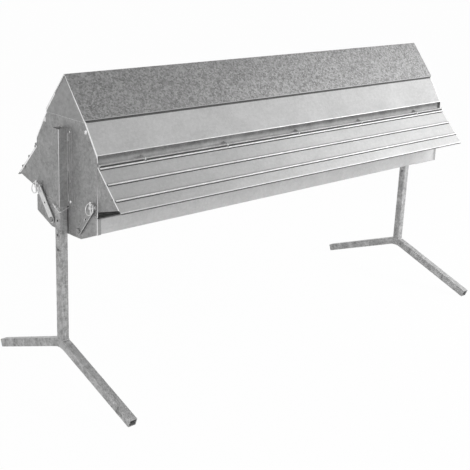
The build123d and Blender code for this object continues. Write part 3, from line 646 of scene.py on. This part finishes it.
def zinc(name, colour, grain, spangle, fleck, cloud_size, cloud, rough, vary, bump,
         stretch=(1, 1, 1), streak=0.0, metal=0.30, painted_shade=None):
    """A zinc finish: spangle, fine fleck, dull clouds, drawn streaks, and painted shade that darkens it
    towards the upper of two heights.
    """
    material = bpy.data.materials.new(name)
    material.use_nodes = True
    tree = material.node_tree
    tree.nodes.clear()
    place = add(tree, "ShaderNodeTexCoord").outputs["Object"]
    warp = add(tree, "ShaderNodeTexNoise", {"Vector": place, "Scale": 1.3 / grain, "Detail": 2.0})
    pull = add(tree, "ShaderNodeVectorMath", {
        0: warp.outputs["Color"], 1: (0.5, 0.5, 0.5)}, operation="SUBTRACT")
    shift = add(tree, "ShaderNodeVectorMath", {0: pull.outputs[0], "Scale": 1.1 * grain}, operation="SCALE")
    bent = add(tree, "ShaderNodeVectorMath", {0: place, 1: shift.outputs[0]}, operation="ADD").outputs[0]
    crystals = add(tree, "ShaderNodeTexVoronoi", {"Vector": bent, "Scale": 1 / grain})
    shade = add(tree, "ShaderNodeSeparateColor", {0: crystals.outputs["Color"]}).outputs[0]
    flecks = add(tree, "ShaderNodeTexNoise", {
        "Vector": place, "Scale": 2.4 / grain, "Detail": 3.0, "Roughness": 0.7}).outputs[0]
    clouds = add(tree, "ShaderNodeTexNoise", {
        "Vector": place, "Scale": 1 / cloud_size, "Detail": 5.0, "Roughness": 0.6}).outputs[0]
    total = maths(tree, "ADD", contrast(tree, shade, spangle), contrast(tree, flecks, 4 * fleck))
    total = maths(tree, "ADD", total, contrast(tree, clouds, 4 * cloud))
    if streak:
        drawn = add(tree, "ShaderNodeMapping", {"Vector": place, "Scale": stretch})
        lines = add(tree, "ShaderNodeTexNoise", {
            "Vector": drawn.outputs[0], "Scale": 260.0, "Detail": 4.0, "Roughness": 0.55}).outputs[0]
        total = maths(tree, "ADD", total, contrast(tree, lines, 4 * streak))
    # Painted shade: the colour darkens between the two heights, towards the upper one.
    if painted_shade:
        height = part_of(tree, place, "Z")
        painted_shade_amount = add(tree, "ShaderNodeMapRange", {
            "Value": height, "From Min": painted_shade[0], "From Max": painted_shade[1], "To Max": painted_shade[2]}).outputs[0]
        total = maths(tree, "SUBTRACT", total, painted_shade_amount)
    level = add(tree, "ShaderNodeMapRange", {"Value": total, "From Min": -1.0, "From Max": 1.0})
    dark = [0.02 * c for c in colour] + [1.0]
    light = [1.98 * c for c in colour] + [1.0]
    paint = add(tree, "ShaderNodeMix", {0: level.outputs[0], 6: dark, 7: light}, data_type="RGBA")
    gloss = add(tree, "ShaderNodeMapRange", {
        "Value": total, "From Min": -0.5, "From Max": 0.5,
        "To Min": rough + vary, "To Max": rough - vary})
    relief = maths(tree, "ADD", total, maths(tree, "MULTIPLY", flecks, 0.5))
    dents = add(tree, "ShaderNodeBump", {"Height": relief, "Strength": 1.0, "Distance": bump})
    shader = add(tree, "ShaderNodeBsdfPrincipled", {
        "Base Color": paint.outputs[2], "Metallic": metal, "Roughness": gloss.outputs[0],
        "Normal": dents.outputs[0]})
    output = tree.nodes.new("ShaderNodeOutputMaterial")
    tree.links.new(shader.outputs[0], output.inputs[0])
    return material


def finish(name):
    """The material of one finish, made on first use from the colour in the settings."""
    label = name + "_finish"
    found = bpy.data.materials.get(label)
    if found:
        return found
    colour = getattr(bpy.context.scene.lamb_feeder.finishes, name)
    return zinc(label, tuple(colour), **FINISHES[name])


# Settings


class SheetSettings(bpy.types.PropertyGroup):
    """Sizes of the bent sheet."""

    sheet: bpy.props.FloatProperty(
        name="Sheet", description="Thickness of the hopper's and trough's sheet", default=0.0015,
        unit="LENGTH")
    fold: bpy.props.FloatProperty(
        name="Fold radius", description="Outer radius of the folds", default=0.0035, unit="LENGTH")
    # The seam band is painted lighter as a highlight along the seam.
    seam: bpy.props.FloatProperty(
        name="Seam band", description="Width of the dressed band along a welded seam", default=0.0042,
        unit="LENGTH")
    rib_height: bpy.props.FloatProperty(
        name="Rib height", description="How far the flaps' ribs stand up", default=0.006, unit="LENGTH")
    rib_width: bpy.props.FloatProperty(
        name="Rib width", description="Width of a rib at its foot", default=0.016, unit="LENGTH")
    edge: bpy.props.FloatProperty(
        name="Edge radius", description="Rounding of the thick parts' edges", default=0.0007, unit="LENGTH")


def colour_setting(label, description, shade):
    """A grey colour setting."""
    return bpy.props.FloatVectorProperty(
        name=label, description=description, subtype="COLOR", size=3, min=0.0, max=1.0,
        default=(shade,) * 3)


class FinishSettings(bpy.types.PropertyGroup):
    """Colours of the zinc finishes."""

    spangled_roof: colour_setting("Roof", "Colour of the spangled roof sheet", 0.25)
    galvanised_sheet: colour_setting("Flap", "Colour of the flaps' sheet", 0.42)
    panel_sheet: colour_setting("Panel", "Colour of the side panels' sheet", 0.50)
    # The recess rails get painted shade, darker towards the top under the panel's fold.
    recess_sheet: colour_setting("Recess", "Colour of the rails in the recess, below their grime", 0.60)
    # The trough's lighter colour is painted light on its wall.
    trough_sheet: colour_setting("Trough", "Colour of the trough's cleaner sheet", 0.66)
    # This lighter zinc is a painted highlight.
    rubbed_zinc: colour_setting("Rubbed zinc", "Colour of the rubbed crests, folds and rims", 0.66)
    galvanised_plate: colour_setting("Plate", "Colour of the end plates, caps and sleeves", 0.38)
    dipped_tube: colour_setting("Tube", "Colour of the hot-dipped legs", 0.46)
    # This dark colour is painted shade: under the eaves, at the flaps' lips, rib feet and bead, and in the
    # cheek holes.
    shaded_zinc: colour_setting("Shaded", "Colour of grimy lips, rib feet and the eaves' shade", 0.08)
    # On the flaps this colour also paints shade above the ribs.
    dull_zinc: colour_setting("Dull zinc", "Colour of the weathered small parts", 0.36)
    bright_zinc: colour_setting("Bright zinc", "Colour of the plated small parts", 0.70)
    # Also painted in bands along edges and seams as a highlight.
    dressed_edge: colour_setting("Dressed edge", "Colour of cut and dressed edges", 0.92)
    weld_metal: colour_setting("Weld", "Colour of the weld beads", 0.46)


class StageSettings(bpy.types.PropertyGroup):
    """Camera, lamps and floor."""

    lens: bpy.props.FloatProperty(
        name="Lens", description="Focal length", default=74.2108, unit="CAMERA")
    azimuth: bpy.props.FloatProperty(
        name="Azimuth", description="Where the camera stands round the feeder", default=radians(-43.8647),
        subtype="ANGLE")
    elevation: bpy.props.FloatProperty(
        name="Elevation", description="How far the camera looks down", default=radians(18.1765),
        subtype="ANGLE")
    roll: bpy.props.FloatProperty(
        name="Roll", description="Turn of the camera about its view", default=radians(2.4844),
        subtype="ANGLE")
    distance: bpy.props.FloatProperty(
        name="Distance", description="From the camera to its target", default=3.7564, unit="LENGTH")
    target: bpy.props.FloatVectorProperty(
        name="Target", description="The point that the camera looks at", default=(-0.12905, 0.0, 0.38431),
        subtype="XYZ")
    key: bpy.props.FloatProperty(
        name="Key lamp", description="Power of the main lamp in watts", default=50.0)
    fill: bpy.props.FloatProperty(
        name="Fill lamps", description="Power of each fill lamp in watts", default=10.0)
    ambient: bpy.props.FloatProperty(
        name="Ambient", description="Strength of the light from all round", default=0.27)


class FeederSettings(bpy.types.PropertyGroup):
    """All settings of the lamb feeder."""

    sheets: bpy.props.PointerProperty(type=SheetSettings)
    finishes: bpy.props.PointerProperty(type=FinishSettings)
    stage: bpy.props.PointerProperty(type=StageSettings)


# Pieces


class FEEDER_OT_roof(bpy.types.Operator):
    """Make the lid's roof sheet with its rounded ridge, and the two gable plates"""

    bl_idname = "feeder.roof"
    bl_label = "Roof and gables"

    def execute(self, context):
        sizes = context.scene.lamb_feeder.sheets
        bm = bmesh.new()
        end_x = PLATE_FACE_X + ROOF_END
        slant = atan2(APEX[1] - EAVE[1], -EAVE[0])
        rim = step(EAVE, slant, EAVE_LINE)
        line = [EAVE, rim, APEX] + mirrored([EAVE, rim])
        add_sheet(bm, line, sizes.sheet, sizes.fold, -end_x, end_x)
        # The band along each eave takes the lighter sheet finish: a painted highlight on the eave's edge.
        for face in bm.faces:
            if face.calc_center_median().z < rim[1]:
                face.material_index = 1
        settle_drawn("roof_cover", bm, ("spangled_roof", "galvanised_sheet"), "lid", "spangled_roof",
                     "roof_sheet")
        angle = atan2(APEX[1] - EAVE[1], EAVE[0])
        drop = sizes.sheet / cos(angle)
        corner = EAVE[0] - sizes.sheet / sin(angle)
        outline = [(-corner, GABLE_LOW_Z), (corner, GABLE_LOW_Z), (corner, EAVE[1]), (0.0, APEX[1] - drop),
                   (-corner, EAVE[1])]
        # The bands along the gable's low edge and sloping edges take the bright edge finish: a painted
        # highlight.
        bands = {0: GABLE_LINE, 2: sizes.seam, 3: sizes.seam}
        for end, sign in ENDS.items():
            bm = bmesh.new()
            add_plate(bm, outline, sign * (PLATE_FACE_X + GABLE_GAP), sign * end_x, bands)
            settle_drawn("gable_plate_" + end, bm, ("dull_zinc", "dressed_edge"), "lid", "galvanised_plate",
                         "roof_gable_" + end)
        return {"FINISHED"}


class FEEDER_OT_panels(bpy.types.Operator):
    """Make the two side panels with their folds and end tabs"""

    bl_idname = "feeder.panels"
    bl_label = "Side panels"

    def execute(self, context):
        sizes = context.scene.lamb_feeder.sheets
        end_x = PLATE_FACE_X - PLATE
        angle = atan2(PANEL_TOP[1] - PANEL_LOW[1], PANEL_TOP[0] - PANEL_LOW[0])
        shaded = step(PANEL_TOP, angle, -PANEL_SHADE)
        highlit = step(PANEL_LOW, angle, PANEL_RIM)
        line = [(PANEL_LOW[0] - PANEL_FOLD, PANEL_LOW[1]), PANEL_LOW, highlit, shaded, PANEL_TOP,
                (PANEL_TOP[0] - PANEL_TOP_RETURN, PANEL_TOP[1])]
        middle = (EAVE_BOLT[1] - PANEL_LOW[1]) / sin(angle)
        tab = [step(PANEL_LOW, angle, middle + a, b) for a, b in
               ((-TAB_HALF, TAB_S[0]), (TAB_HALF, TAB_S[0]), (TAB_HALF, TAB_S[1]), (-TAB_HALF, TAB_S[1]))]
        for side, sign in SIDES.items():
            bm = bmesh.new()
            add_sheet(bm, line, sizes.sheet, sizes.fold, -end_x, end_x)
            # The band under the eave takes the dark finish as painted shade, and the rim at the low fold
            # takes the lighter zinc as a painted highlight.
            for face in bm.faces:
                centre = face.calc_center_median()
                under_eave = shaded[1] < centre.z < PANEL_TOP[1] - PANEL_SHADE_STOP
                if under_eave and face.calc_area() > PANEL_LEAST_AREA:
                    face.material_index = 2
                elif centre.z < highlit[1] and centre.y > PANEL_LOW[0] - sizes.fold:
                    face.material_index = 1
            for end in ENDS.values():
                add_plate(bm, tab, end * (end_x - sizes.sheet), end * end_x)
            to_side(bm, sign)
            node = "side_panel_" + side
            settle_drawn(node + "_folded", bm, ("panel_sheet", "rubbed_zinc", "shaded_zinc"), "hopper",
                         "galvanised_sheet", node)
        return {"FINISHED"}


class FEEDER_OT_flaps(bpy.types.Operator):
    """Make the two ribbed flaps, each with its rolled bead, hem and end cheeks"""

    bl_idname = "feeder.flaps"
    bl_label = "Flaps"

    def flat_sheet(self):
        """The flap before pressing, with notches for the hinge ears."""
        columns = sorted([-FLAP_X, FLAP_X] + [x + d for x in EAR_X for d in (-EAR_HALF, EAR_HALF)])
        rows = [FLAP_LENGTH * i / FLAP_ROWS for i in range(FLAP_ROWS + 1)]
        bm = bmesh.new()
        grid = [[bm.verts.new((x, a, 0.0)) for x in columns] for a in rows]
        for r in range(len(rows) - 1):
            for c in range(len(columns) - 1):
                notch = rows[r + 1] < EAR_DEPTH + DOUBLES and c % 2 == 1
                if not notch:
                    bm.faces.new((grid[r][c], grid[r][c + 1], grid[r + 1][c + 1], grid[r + 1][c]))
        bmesh.ops.delete(bm, geom=[v for v in bm.verts if not v.link_faces], context="VERTS")
        return kept_mesh("flap_flat", bm)

    def execute(self, context):
        sizes = context.scene.lamb_feeder.sheets
        tree = ribs_tree()
        up = Vector((-sin(FLAP_TILT), cos(FLAP_TILT)))
        down = Vector((cos(FLAP_TILT), sin(FLAP_TILT)))
        lift = FLAP_SHEET - BEAD_R
        bead_x = FLAP_X - BEAD_SHORT
        stops = [-bead_x] + [x + d for x in EAR_X for d in (-EAR_HALF, EAR_HALF)] + [bead_x]
        hem = [step(ROD, FLAP_TILT, FLAP_LENGTH - a, -BEAD_R - b) for a, b in HEM]
        for side, sign in SIDES.items():
            name = "flap_" + side + "_pressed"
            pressed = grown(name, self.flat_sheet(), tree, {
                "Rib width": sizes.rib_width, "Rib height": sizes.rib_height,
                "Material": finish("galvanised_sheet")})
            bm = bmesh.new()
            bm.from_mesh(pressed.data)
            for vert in bm.verts:
                at = Vector(ROD) + down * vert.co.y + up * (vert.co.z + lift)
                vert.co = (vert.co.x, at.x, at.y)
            for low, high in zip(stops[::2], stops[1::2]):
                add_tube(bm, low, high, ROD, BEAD_R, BEAD_BORE_R)
            add_plate(bm, hem, -FLAP_X + HEM_SHORT, FLAP_X - HEM_SHORT)
            bm.normal_update()
            # Slot 1's lighter zinc also goes on the flap's end faces; the rest get painted highlight and
            # painted shade by their place on the flap.
            for face in bm.faces:
                face.material_index = 1 if abs(face.normal.x) > 0.9 else self.painted_light_slot(face, down, up, lift)
            to_side(bm, sign)
            finishes = ("galvanised_sheet", "rubbed_zinc", "shaded_zinc", "dull_zinc", "galvanised_plate")
            pressed.data = finished_mesh(name, bm, finishes, 40)
            settle(pressed, "flap_" + side, "galvanised_sheet", "flap_" + side)
            self.cheeks(side, sign)
        return {"FINISHED"}

    def painted_light_slot(self, face, down, up, lift):
        """Slot 1 paints a highlight on the rib crests and the lip, 2 paints shade on the lip's edge, the
        rib feet and the bead's lower side, 3 paints shade above the ribs, 4 is the rest of the bead, else
        0.
        """
        middle = face.calc_center_median()
        place = Vector((middle.y, middle.z)) - Vector(ROD)
        along, out = place.dot(down), place.dot(up)
        gaps = [along - rib for rib in RIB_PLACES]
        if place.length < 1.02 * BEAD_R:
            return 2 if along > BEAD_SHADE_START else 4
        if along > FLAP_LENGTH - LIP_SHADE_BAND:
            return 2
        if out < lift - FLAP_SHEET / 3:
            return 0
        if any(RIB_HIGHLIGHT_BAND[0] < gap < RIB_HIGHLIGHT_BAND[1] for gap in gaps) or along > FLAP_LENGTH - LIP_HIGHLIGHT_BAND:
            return 1
        if any(RIB_FOOT_SHADE_BAND[0] <= gap < RIB_FOOT_SHADE_BAND[1] for gap in gaps):
            return 2
        return 3 if any(RIB_UPPER_SHADE_BAND[0] < gap <= RIB_UPPER_SHADE_BAND[1] for gap in gaps) else 0

    def cheeks(self, side, sign):
        """The plates that close the flap's two ends."""
        tip = step(ROD, FLAP_TILT, CHEEK_LENGTH, -BEAD_R)
        top = step(ROD, FLAP_TILT, 0.0, -BEAD_R)
        arc = [step(ROD, a, BEAD_R) for a in [radians(-118 + 20 * i) for i in range(14)]]
        edge_s = PANEL_LOW[0] + CHEEK_GAP
        outline = [(edge_s, ROD[1]), (edge_s, CHEEK_LOW_Z), (CHEEK_LOW_S, CHEEK_LOW_Z), tip, top] + arc
        bm = bmesh.new()
        for end in ENDS.values():
            # The band along the edge under the flap sheet takes the bright edge finish: a painted
            # highlight.
            add_plate(bm, outline, end * (FLAP_X - FLAP_SHEET), end * FLAP_X, {3: CHEEK_BAND}, [CHEEK_HOLE])
            # A dark disc in the hole's bore stands for the shade seen through it: painted shade.
            shade_disc_x = sorted((end * (FLAP_X - 0.8 * FLAP_SHEET), end * (FLAP_X - 0.6 * FLAP_SHEET)))
            before = len(bm.faces)
            add_plate(bm, circle(CHEEK_HOLE[:2], CHEEK_HOLE[2]), *shade_disc_x)
            bm.faces.ensure_lookup_table()
            for face in bm.faces[before:]:
                face.material_index = 2
        to_side(bm, sign)
        node = "flap_cheeks_" + side
        settle_drawn(node + "_dressed", bm, ("galvanised_plate", "dressed_edge", "shaded_zinc"),
                     "flap_" + side, "galvanised_plate", node)


class FEEDER_OT_trough(bpy.types.Operator):
    """Make the trough with its rolled top edges, and its two end caps"""

    bl_idname = "feeder.trough"
    bl_label = "Trough and caps"

    def execute(self, context):
        sizes = context.scene.lamb_feeder.sheets
        line = TROUGH_LINE + mirrored(TROUGH_LINE)
        lip = (TROUGH_LINE[0][0] - TROUGH_LIP, TROUGH_LINE[0][1])
        bm = bmesh.new()
        folded = ([lip] + line + mirrored([lip]))[::-1]
        add_sheet(bm, folded, sizes.sheet, sizes.fold, -PLATE_FACE_X, PLATE_FACE_X)
        settle_drawn("trough_folded", bm, ("trough_sheet", "dressed_edge"), "hopper", "galvanised_sheet",
                     "trough")
        self.caps(line, sizes.fold)
        return {"FINISHED"}

    def caps(self, line, fold):
        """The two end caps, each a plate with a flange that wraps under the trough."""
        outer = left_of(line, PLATE)
        ring = [(outer[0][0], CAP_SHOULDER_Z)] + outer[1:-1] + [(outer[-1][0], CAP_SHOULDER_Z)]
        top = [(CAP_TOP_S, CAP_TOP_Z), (0.0, CAP_TOP_Z)]
        outline = rounded(mirrored(top) + ring[::-1] + top, CAP_CORNER)[:-1]
        # The bands along the cap's edges below its top take the bright edge finish: a painted highlight.
        edges = {i: CAP_BAND for i, (s, z) in enumerate(outline) if z < CAP_TOP_Z - 0.001}
        flange = [(s, min(z, CAP_SHOULDER_Z)) for s, z in line]
        for end, sign in ENDS.items():
            bm = bmesh.new()
            add_plate(bm, outline, sign * PLATE_FACE_X, sign * (PLATE_FACE_X + PLATE), edges)
            low, high = sorted((sign * (PLATE_FACE_X - CAP_FLANGE), sign * PLATE_FACE_X))
            add_sheet(bm, flange, PLATE, fold, low, high)
            for face in bm.faces:
                if abs(face.calc_center_median().x) < PLATE_FACE_X - 0.001 and not face.material_index:
                    face.material_index = 2
            node = "trough_cap_" + end
            settle_drawn(node + "_flanged", bm, ("galvanised_plate", "dressed_edge", "galvanised_sheet"),
                         "hopper", "galvanised_plate", node)


class FEEDER_OT_end_plates(bpy.types.Operator):
    """Make the hopper's two end plates, with a tongue in the trough and two folded edges"""

    bl_idname = "feeder.end_plates"
    bl_label = "End plates"

    def execute(self, context):
        sizes = context.scene.lamb_feeder.sheets
        outline = PLATE_HALF + mirrored(PLATE_HALF)
        # The bands along the sloping edges take the bright edge finish: a painted highlight along the seams
        # with the panels.
        bands = {edge: sizes.seam for edge in PLATE_SLOPE_EDGES}
        for end, sign in ENDS.items():
            bm = bmesh.new()
            add_plate(bm, outline, sign * (PLATE_FACE_X - PLATE), sign * PLATE_FACE_X, bands)
            x_range = sorted((sign * (PLATE_FACE_X - PLATE_FOLD_X), sign * (PLATE_FACE_X - PLATE)))
            for side in SIDES.values():
                add_box(bm, x_range, sorted(side * s for s in PLATE_FOLD_S),
                        (CHEEK_LOW_Z + PLATE_FOLD_UP, PLATE_FOLD_TOP_Z))
            node = "end_plate_" + end
            settle_drawn(node + "_dressed", bm, ("galvanised_plate", "dressed_edge"), "hopper",
                         "galvanised_plate", node)
        return {"FINISHED"}


class FEEDER_OT_fasteners(bpy.types.Operator):
    """Make the sleeve rivets and the hexagon bolts under the eaves"""

    bl_idname = "feeder.fasteners"
    bl_label = "Rivets and eave bolts"

    def execute(self, context):
        tree = heads_tree()
        rivets = [(end * (SLEEVE_FACE_X - RIVET_SINK), side * s, z)
                  for end in ENDS.values() for side in SIDES.values() for s, z in RIVET_PLACES]
        obj = grown("sleeve_rivet_heads", point_mesh("rivet_points", rivets), tree, {
            "Sides": 20, "Radius": 0.0042, "Height": 0.0006, "Dome": 0.0016, "Washer radius": 0.0046,
            "Washer": 0.0005, "Seed": 11, "Material": finish("bright_zinc")})
        settle(obj, "hopper", "bright_zinc", "sleeve_rivets")
        bolts = [(end * PLATE_FACE_X, side * EAVE_BOLT[0], EAVE_BOLT[1])
                 for end in ENDS.values() for side in SIDES.values()]
        nuts = [(x * EAVE_NUT_X / PLATE_FACE_X, y, z) for x, y, z in bolts]
        obj = grown("eave_bolt_heads", point_mesh("bolt_points", bolts + nuts), tree, {
            "Sides": 6, "Radius": 0.0060, "Height": 0.0030, "Dome": 0.0005, "Washer radius": 0.0072,
            "Washer": 0.0010, "Seed": 4, "Material": finish("bright_zinc")})
        settle(obj, "hopper", "bright_zinc", "eave_bolts")
        return {"FINISHED"}


class FEEDER_OT_welds(bpy.types.Operator):
    """Lay the weld beads at the legs and sleeves, and their spatter at the legs"""

    bl_idname = "feeder.welds"
    bl_label = "Welds"

    def execute(self, context):
        tree = weld_tree()
        drops = spatter_tree()
        weld = finish("weld_metal")
        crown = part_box("foot_left")[1].z
        square = [(POST_HALF * s, POST_HALF * x)
                  for s, x in ((0, -1), (1, -1), (1, 1), (-1, 1), (-1, -1), (0, -1))]
        corners = ((-1, -1), (1, -1), (1, 1), (-1, 1))
        for end, sign in ENDS.items():
            loop = [(sign * POST_X + x, s, crown - CROWN_R + (CROWN_R ** 2 - s ** 2) ** 0.5)
                    for s, x in rounded(square, POST_CORNER)]
            obj = grown("crown_weld_" + end, point_mesh("crown_line", loop[:-1], True), tree, {
                "Bead radius": 0.0026, "Seed": 21 if sign > 0 else 22, "Material": weld})
            settle(obj, "leg_" + end, "dipped_tube")
            patches = bmesh.new()
            upper = crown + SPATTER_UP
            for a, b in zip(corners, corners[1:] + corners[:1]):
                sheet = [(sign * POST_X + POST_HALF * p[0], POST_HALF * p[1], z)
                         for p, z in ((a, crown), (b, crown), (b, upper), (a, upper))]
                patches.faces.new([patches.verts.new(place) for place in sheet])
            obj = grown("crown_spatter_" + end, kept_mesh("crown_patch", patches), drops, {
                "Seed": 31 if sign > 0 else 32, "Material": weld})
            settle(obj, "leg_" + end, "dipped_tube")
            self.sleeve(end, sign, tree, weld)
        return {"FINISHED"}

    def sleeve(self, end, sign, tree, weld):
        """Short stitches of weld between the sleeve and its base plate."""
        bm = bmesh.new()
        for side in SIDES.values():
            for middle in STITCHES_Z:
                line = [bm.verts.new((sign * (SLEEVE_FACE_X + STITCH_OUT), side * STITCH_S, middle + d))
                        for d in (-STITCH_HALF, STITCH_HALF)]
                bm.edges.new(line)
        obj = grown("sleeve_welds_" + end, kept_mesh("sleeve_line", bm), tree, {
            "Spacing": 0.0018, "Bead radius": 0.0019, "Seed": 41 if sign > 0 else 42, "Material": weld})
        settle(obj, "hopper", "galvanised_plate")


# Nodes that keep their shape, with rounded edges: node prefix, finish and edge radius share
SOFTENED = [
    ("leg_sleeve_", "galvanised_plate", 1.6, ENDS),
    ("trough_strap_", "dull_zinc", 1.0, ("front_left", "front_right")),
    ("trough_strap_", "bright_zinc", 1.0, ("rear_left", "rear_right")),
    ("linch_pin_", "bright_zinc", 0.4, ("front_left", "front_right", "rear_left", "rear_right")),
    ("leg_pin_", "bright_zinc", 0.3, ENDS),
    ("strap_", "bright_zinc", 0.5, ("studs",)),
    ("strap_", "dull_zinc", 0.5, ("bolts",)),
]

# Finishes that share another finish's slot
SLOTS = {"dull_zinc": "bright_zinc"}

PLAIN_FINISHES = {
    "foot_": "dipped_tube", "post_": "dipped_tube", "hinge_rail_": "recess_sheet",
    "hopper_floor_": "dull_zinc", "feed_gate_": "dull_zinc", "inner_braces": "dull_zinc",
    "lid_hinge_": "bright_zinc", "gate_bolts": "bright_zinc", "flap_rod_": "bright_zinc",
    "linch_ring_": "bright_zinc",
}


class FEEDER_OT_hardware(bpy.types.Operator):
    """Round the edges of the sleeves, straps, pins, studs and bolts"""

    bl_idname = "feeder.hardware"
    bl_label = "Straps, pins and sleeves"

    def execute(self, context):
        edge = context.scene.lamb_feeder.sheets.edge
        for prefix, name, share, endings in SOFTENED:
            for ending in endings:
                node = prefix + ending
                sleeve = prefix == "leg_sleeve_"
                # Slot 1 is a painted highlight: the lighter zinc on a sleeve's corners and foot band, the
                # bright edge finish on the other parts' rounded edges.
                finishes = (name, "rubbed_zinc" if sleeve else "dressed_edge")
                mesh = softened(node, edge * share, finishes, sleeve)
                body = frame["nodes"][node]["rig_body"]
                settle(link(node + "_rounded", mesh), body, SLOTS.get(name, name), node)
        return {"FINISHED"}


class FEEDER_OT_finishes(bpy.types.Operator):
    """Give the nodes that keep their own mesh their zinc finishes"""

    bl_idname = "feeder.finishes"
    bl_label = "Finishes of the plain parts"

    def execute(self, context):
        for node, obj in frame["nodes"].items():
            name = next((f for p, f in PLAIN_FINISHES.items() if node.startswith(p)), None)
            if name is None:
                if not obj.hide_render:
                    raise RuntimeError("no finish for " + node)
                continue
            if not obj.material_slots:
                obj.data.materials.append(None)
            for slot in obj.material_slots:
                slot.material = finish(name)
        return {"FINISHED"}


# Lamps: name, share of the key or fill power, width, and place
LAMPS = (
    ("key", 1.0, 1.4, (2.3, -1.85, 1.65)),
    ("front", 1.6, 2.0, (-1.6, -3.8, 0.8)),
    ("over", 1.5, 1.6, (2.7, -1.0, 2.6)),
    ("top", 0.4, 3.0, (-0.2, 0.4, 4.2)),
    ("back", 1.2, 2.6, (0.6, 3.6, 2.4)),
    ("near", 1.7, 1.6, (-3.6, -0.8, 1.6)),
)
LAMP_TARGET = Vector((0.0, 0.0, 0.6))
FLOOR_HALF = 40.0
FLOOR_COLOUR = (0.85, 0.85, 0.85, 1.0)
FLOOR_GLOW = 0.98


class FEEDER_OT_stage(bpy.types.Operator):
    """Set up the pale floor, the lamps, the world and the camera"""

    bl_idname = "feeder.stage"
    bl_label = "Stage"

    def execute(self, context):
        sizes = context.scene.lamb_feeder.stage
        scene = context.scene
        scene.view_settings.view_transform = "Standard"
        self.camera(scene, sizes)
        self.world(scene, sizes)
        self.floor()
        for name, power, size, place in LAMPS:
            lamp = bpy.data.lights.new(name + "_lamp", "AREA")
            lamp.energy = power * (sizes.key if name == "key" else sizes.fill)
            lamp.size = size
            obj = link(name + "_lamp", lamp)
            obj.location = place
            obj.rotation_mode = "QUATERNION"
            obj.rotation_quaternion = (LAMP_TARGET - Vector(place)).to_track_quat("-Z", "Y")
        return {"FINISHED"}

    def camera(self, scene, sizes):
        """The camera at the photograph's view."""
        a, e = sizes.azimuth, sizes.elevation
        back = Vector((sin(a) * cos(e), -cos(a) * cos(e), sin(e)))
        data = bpy.data.cameras.new("camera")
        data.sensor_width = 36.0
        data.lens = sizes.lens
        camera = link("camera", data)
        camera.location = Vector(sizes.target) + back * sizes.distance
        camera.rotation_mode = "QUATERNION"
        camera.rotation_quaternion = (-back).to_track_quat("-Z", "Y") @ Quaternion((0, 0, 1), sizes.roll)
        scene.camera = camera

    def seen_directly(self, tree):
        """One for rays from the camera and for mirrored and refracted ones, else nothing."""
        path = add(tree, "ShaderNodeLightPath")
        total = maths(tree, "MAXIMUM", path.outputs["Is Camera Ray"], path.outputs["Is Glossy Ray"])
        return maths(tree, "MAXIMUM", total, path.outputs["Is Transmission Ray"])

    def world(self, scene, sizes):
        """A world that is white where it is seen and softer where it lights."""
        world = bpy.data.worlds.new("studio")
        world.use_nodes = True
        scene.world = world
        tree = world.node_tree
        tree.nodes.clear()
        strength = add(tree, "ShaderNodeMapRange", {
            "Value": self.seen_directly(tree), "To Min": sizes.ambient})
        light = add(tree, "ShaderNodeBackground", {"Color": (1, 1, 1, 1), "Strength": strength.outputs[0]})
        output = tree.nodes.new("ShaderNodeOutputWorld")
        tree.links.new(light.outputs[0], output.inputs[0])

    def floor(self):
        """A wide pale floor that keeps the feeder's soft shadow."""
        bm = bmesh.new()
        bmesh.ops.create_grid(bm, x_segments=1, y_segments=1, size=FLOOR_HALF)
        mesh = kept_mesh("floor", bm)
        material = bpy.data.materials.new("pale_floor")
        material.use_nodes = True
        tree = material.node_tree
        tree.nodes.clear()
        matt = add(tree, "ShaderNodeBsdfDiffuse", {"Color": FLOOR_COLOUR})
        glow = add(tree, "ShaderNodeEmission", {"Color": (1, 1, 1, 1), "Strength": 1.0})
        share = maths(tree, "MULTIPLY", self.seen_directly(tree), FLOOR_GLOW)
        mix = add(tree, "ShaderNodeMixShader", {0: share, 1: matt.outputs[0], 2: glow.outputs[0]})
        output = tree.nodes.new("ShaderNodeOutputMaterial")
        tree.links.new(mix.outputs[0], output.inputs[0])
        mesh.materials.append(material)
        link("floor", mesh)


class FEEDER_PT_panel(bpy.types.Panel):
    """Lists the feeder's settings and the steps that make it"""

    bl_idname = "FEEDER_PT_panel"
    bl_label = "Lamb feeder"
    bl_space_type = "VIEW_3D"
    bl_region_type = "UI"
    bl_category = "Lamb feeder"

    def draw(self, context):
        settings = context.scene.lamb_feeder
        for group in (settings.sheets, settings.finishes, settings.stage):
            box = self.layout.box()
            for name in group.__annotations__:
                box.prop(group, name)
        for operator in OPERATORS:
            self.layout.operator(operator.bl_idname)


OPERATORS = (FEEDER_OT_stage, FEEDER_OT_roof, FEEDER_OT_panels, FEEDER_OT_flaps, FEEDER_OT_trough,
             FEEDER_OT_end_plates, FEEDER_OT_fasteners, FEEDER_OT_welds, FEEDER_OT_hardware,
             FEEDER_OT_finishes)
CLASSES = (SheetSettings, FinishSettings, StageSettings, FeederSettings) + OPERATORS + (FEEDER_PT_panel,)


def register():
    """Register the classes and the scene's settings."""
    for cls in CLASSES:
        bpy.utils.register_class(cls)
    bpy.types.Scene.lamb_feeder = bpy.props.PointerProperty(type=FeederSettings)


def unregister():
    """Take the settings and the classes away again."""
    del bpy.types.Scene.lamb_feeder
    for cls in reversed(CLASSES):
        bpy.utils.unregister_class(cls)


def main():
    """Make the whole feeder."""
    register()
    for operator in OPERATORS:
        group, name = operator.bl_idname.split(".")
        getattr(getattr(bpy.ops, group), name)()


if __name__ == "__main__":
    main()
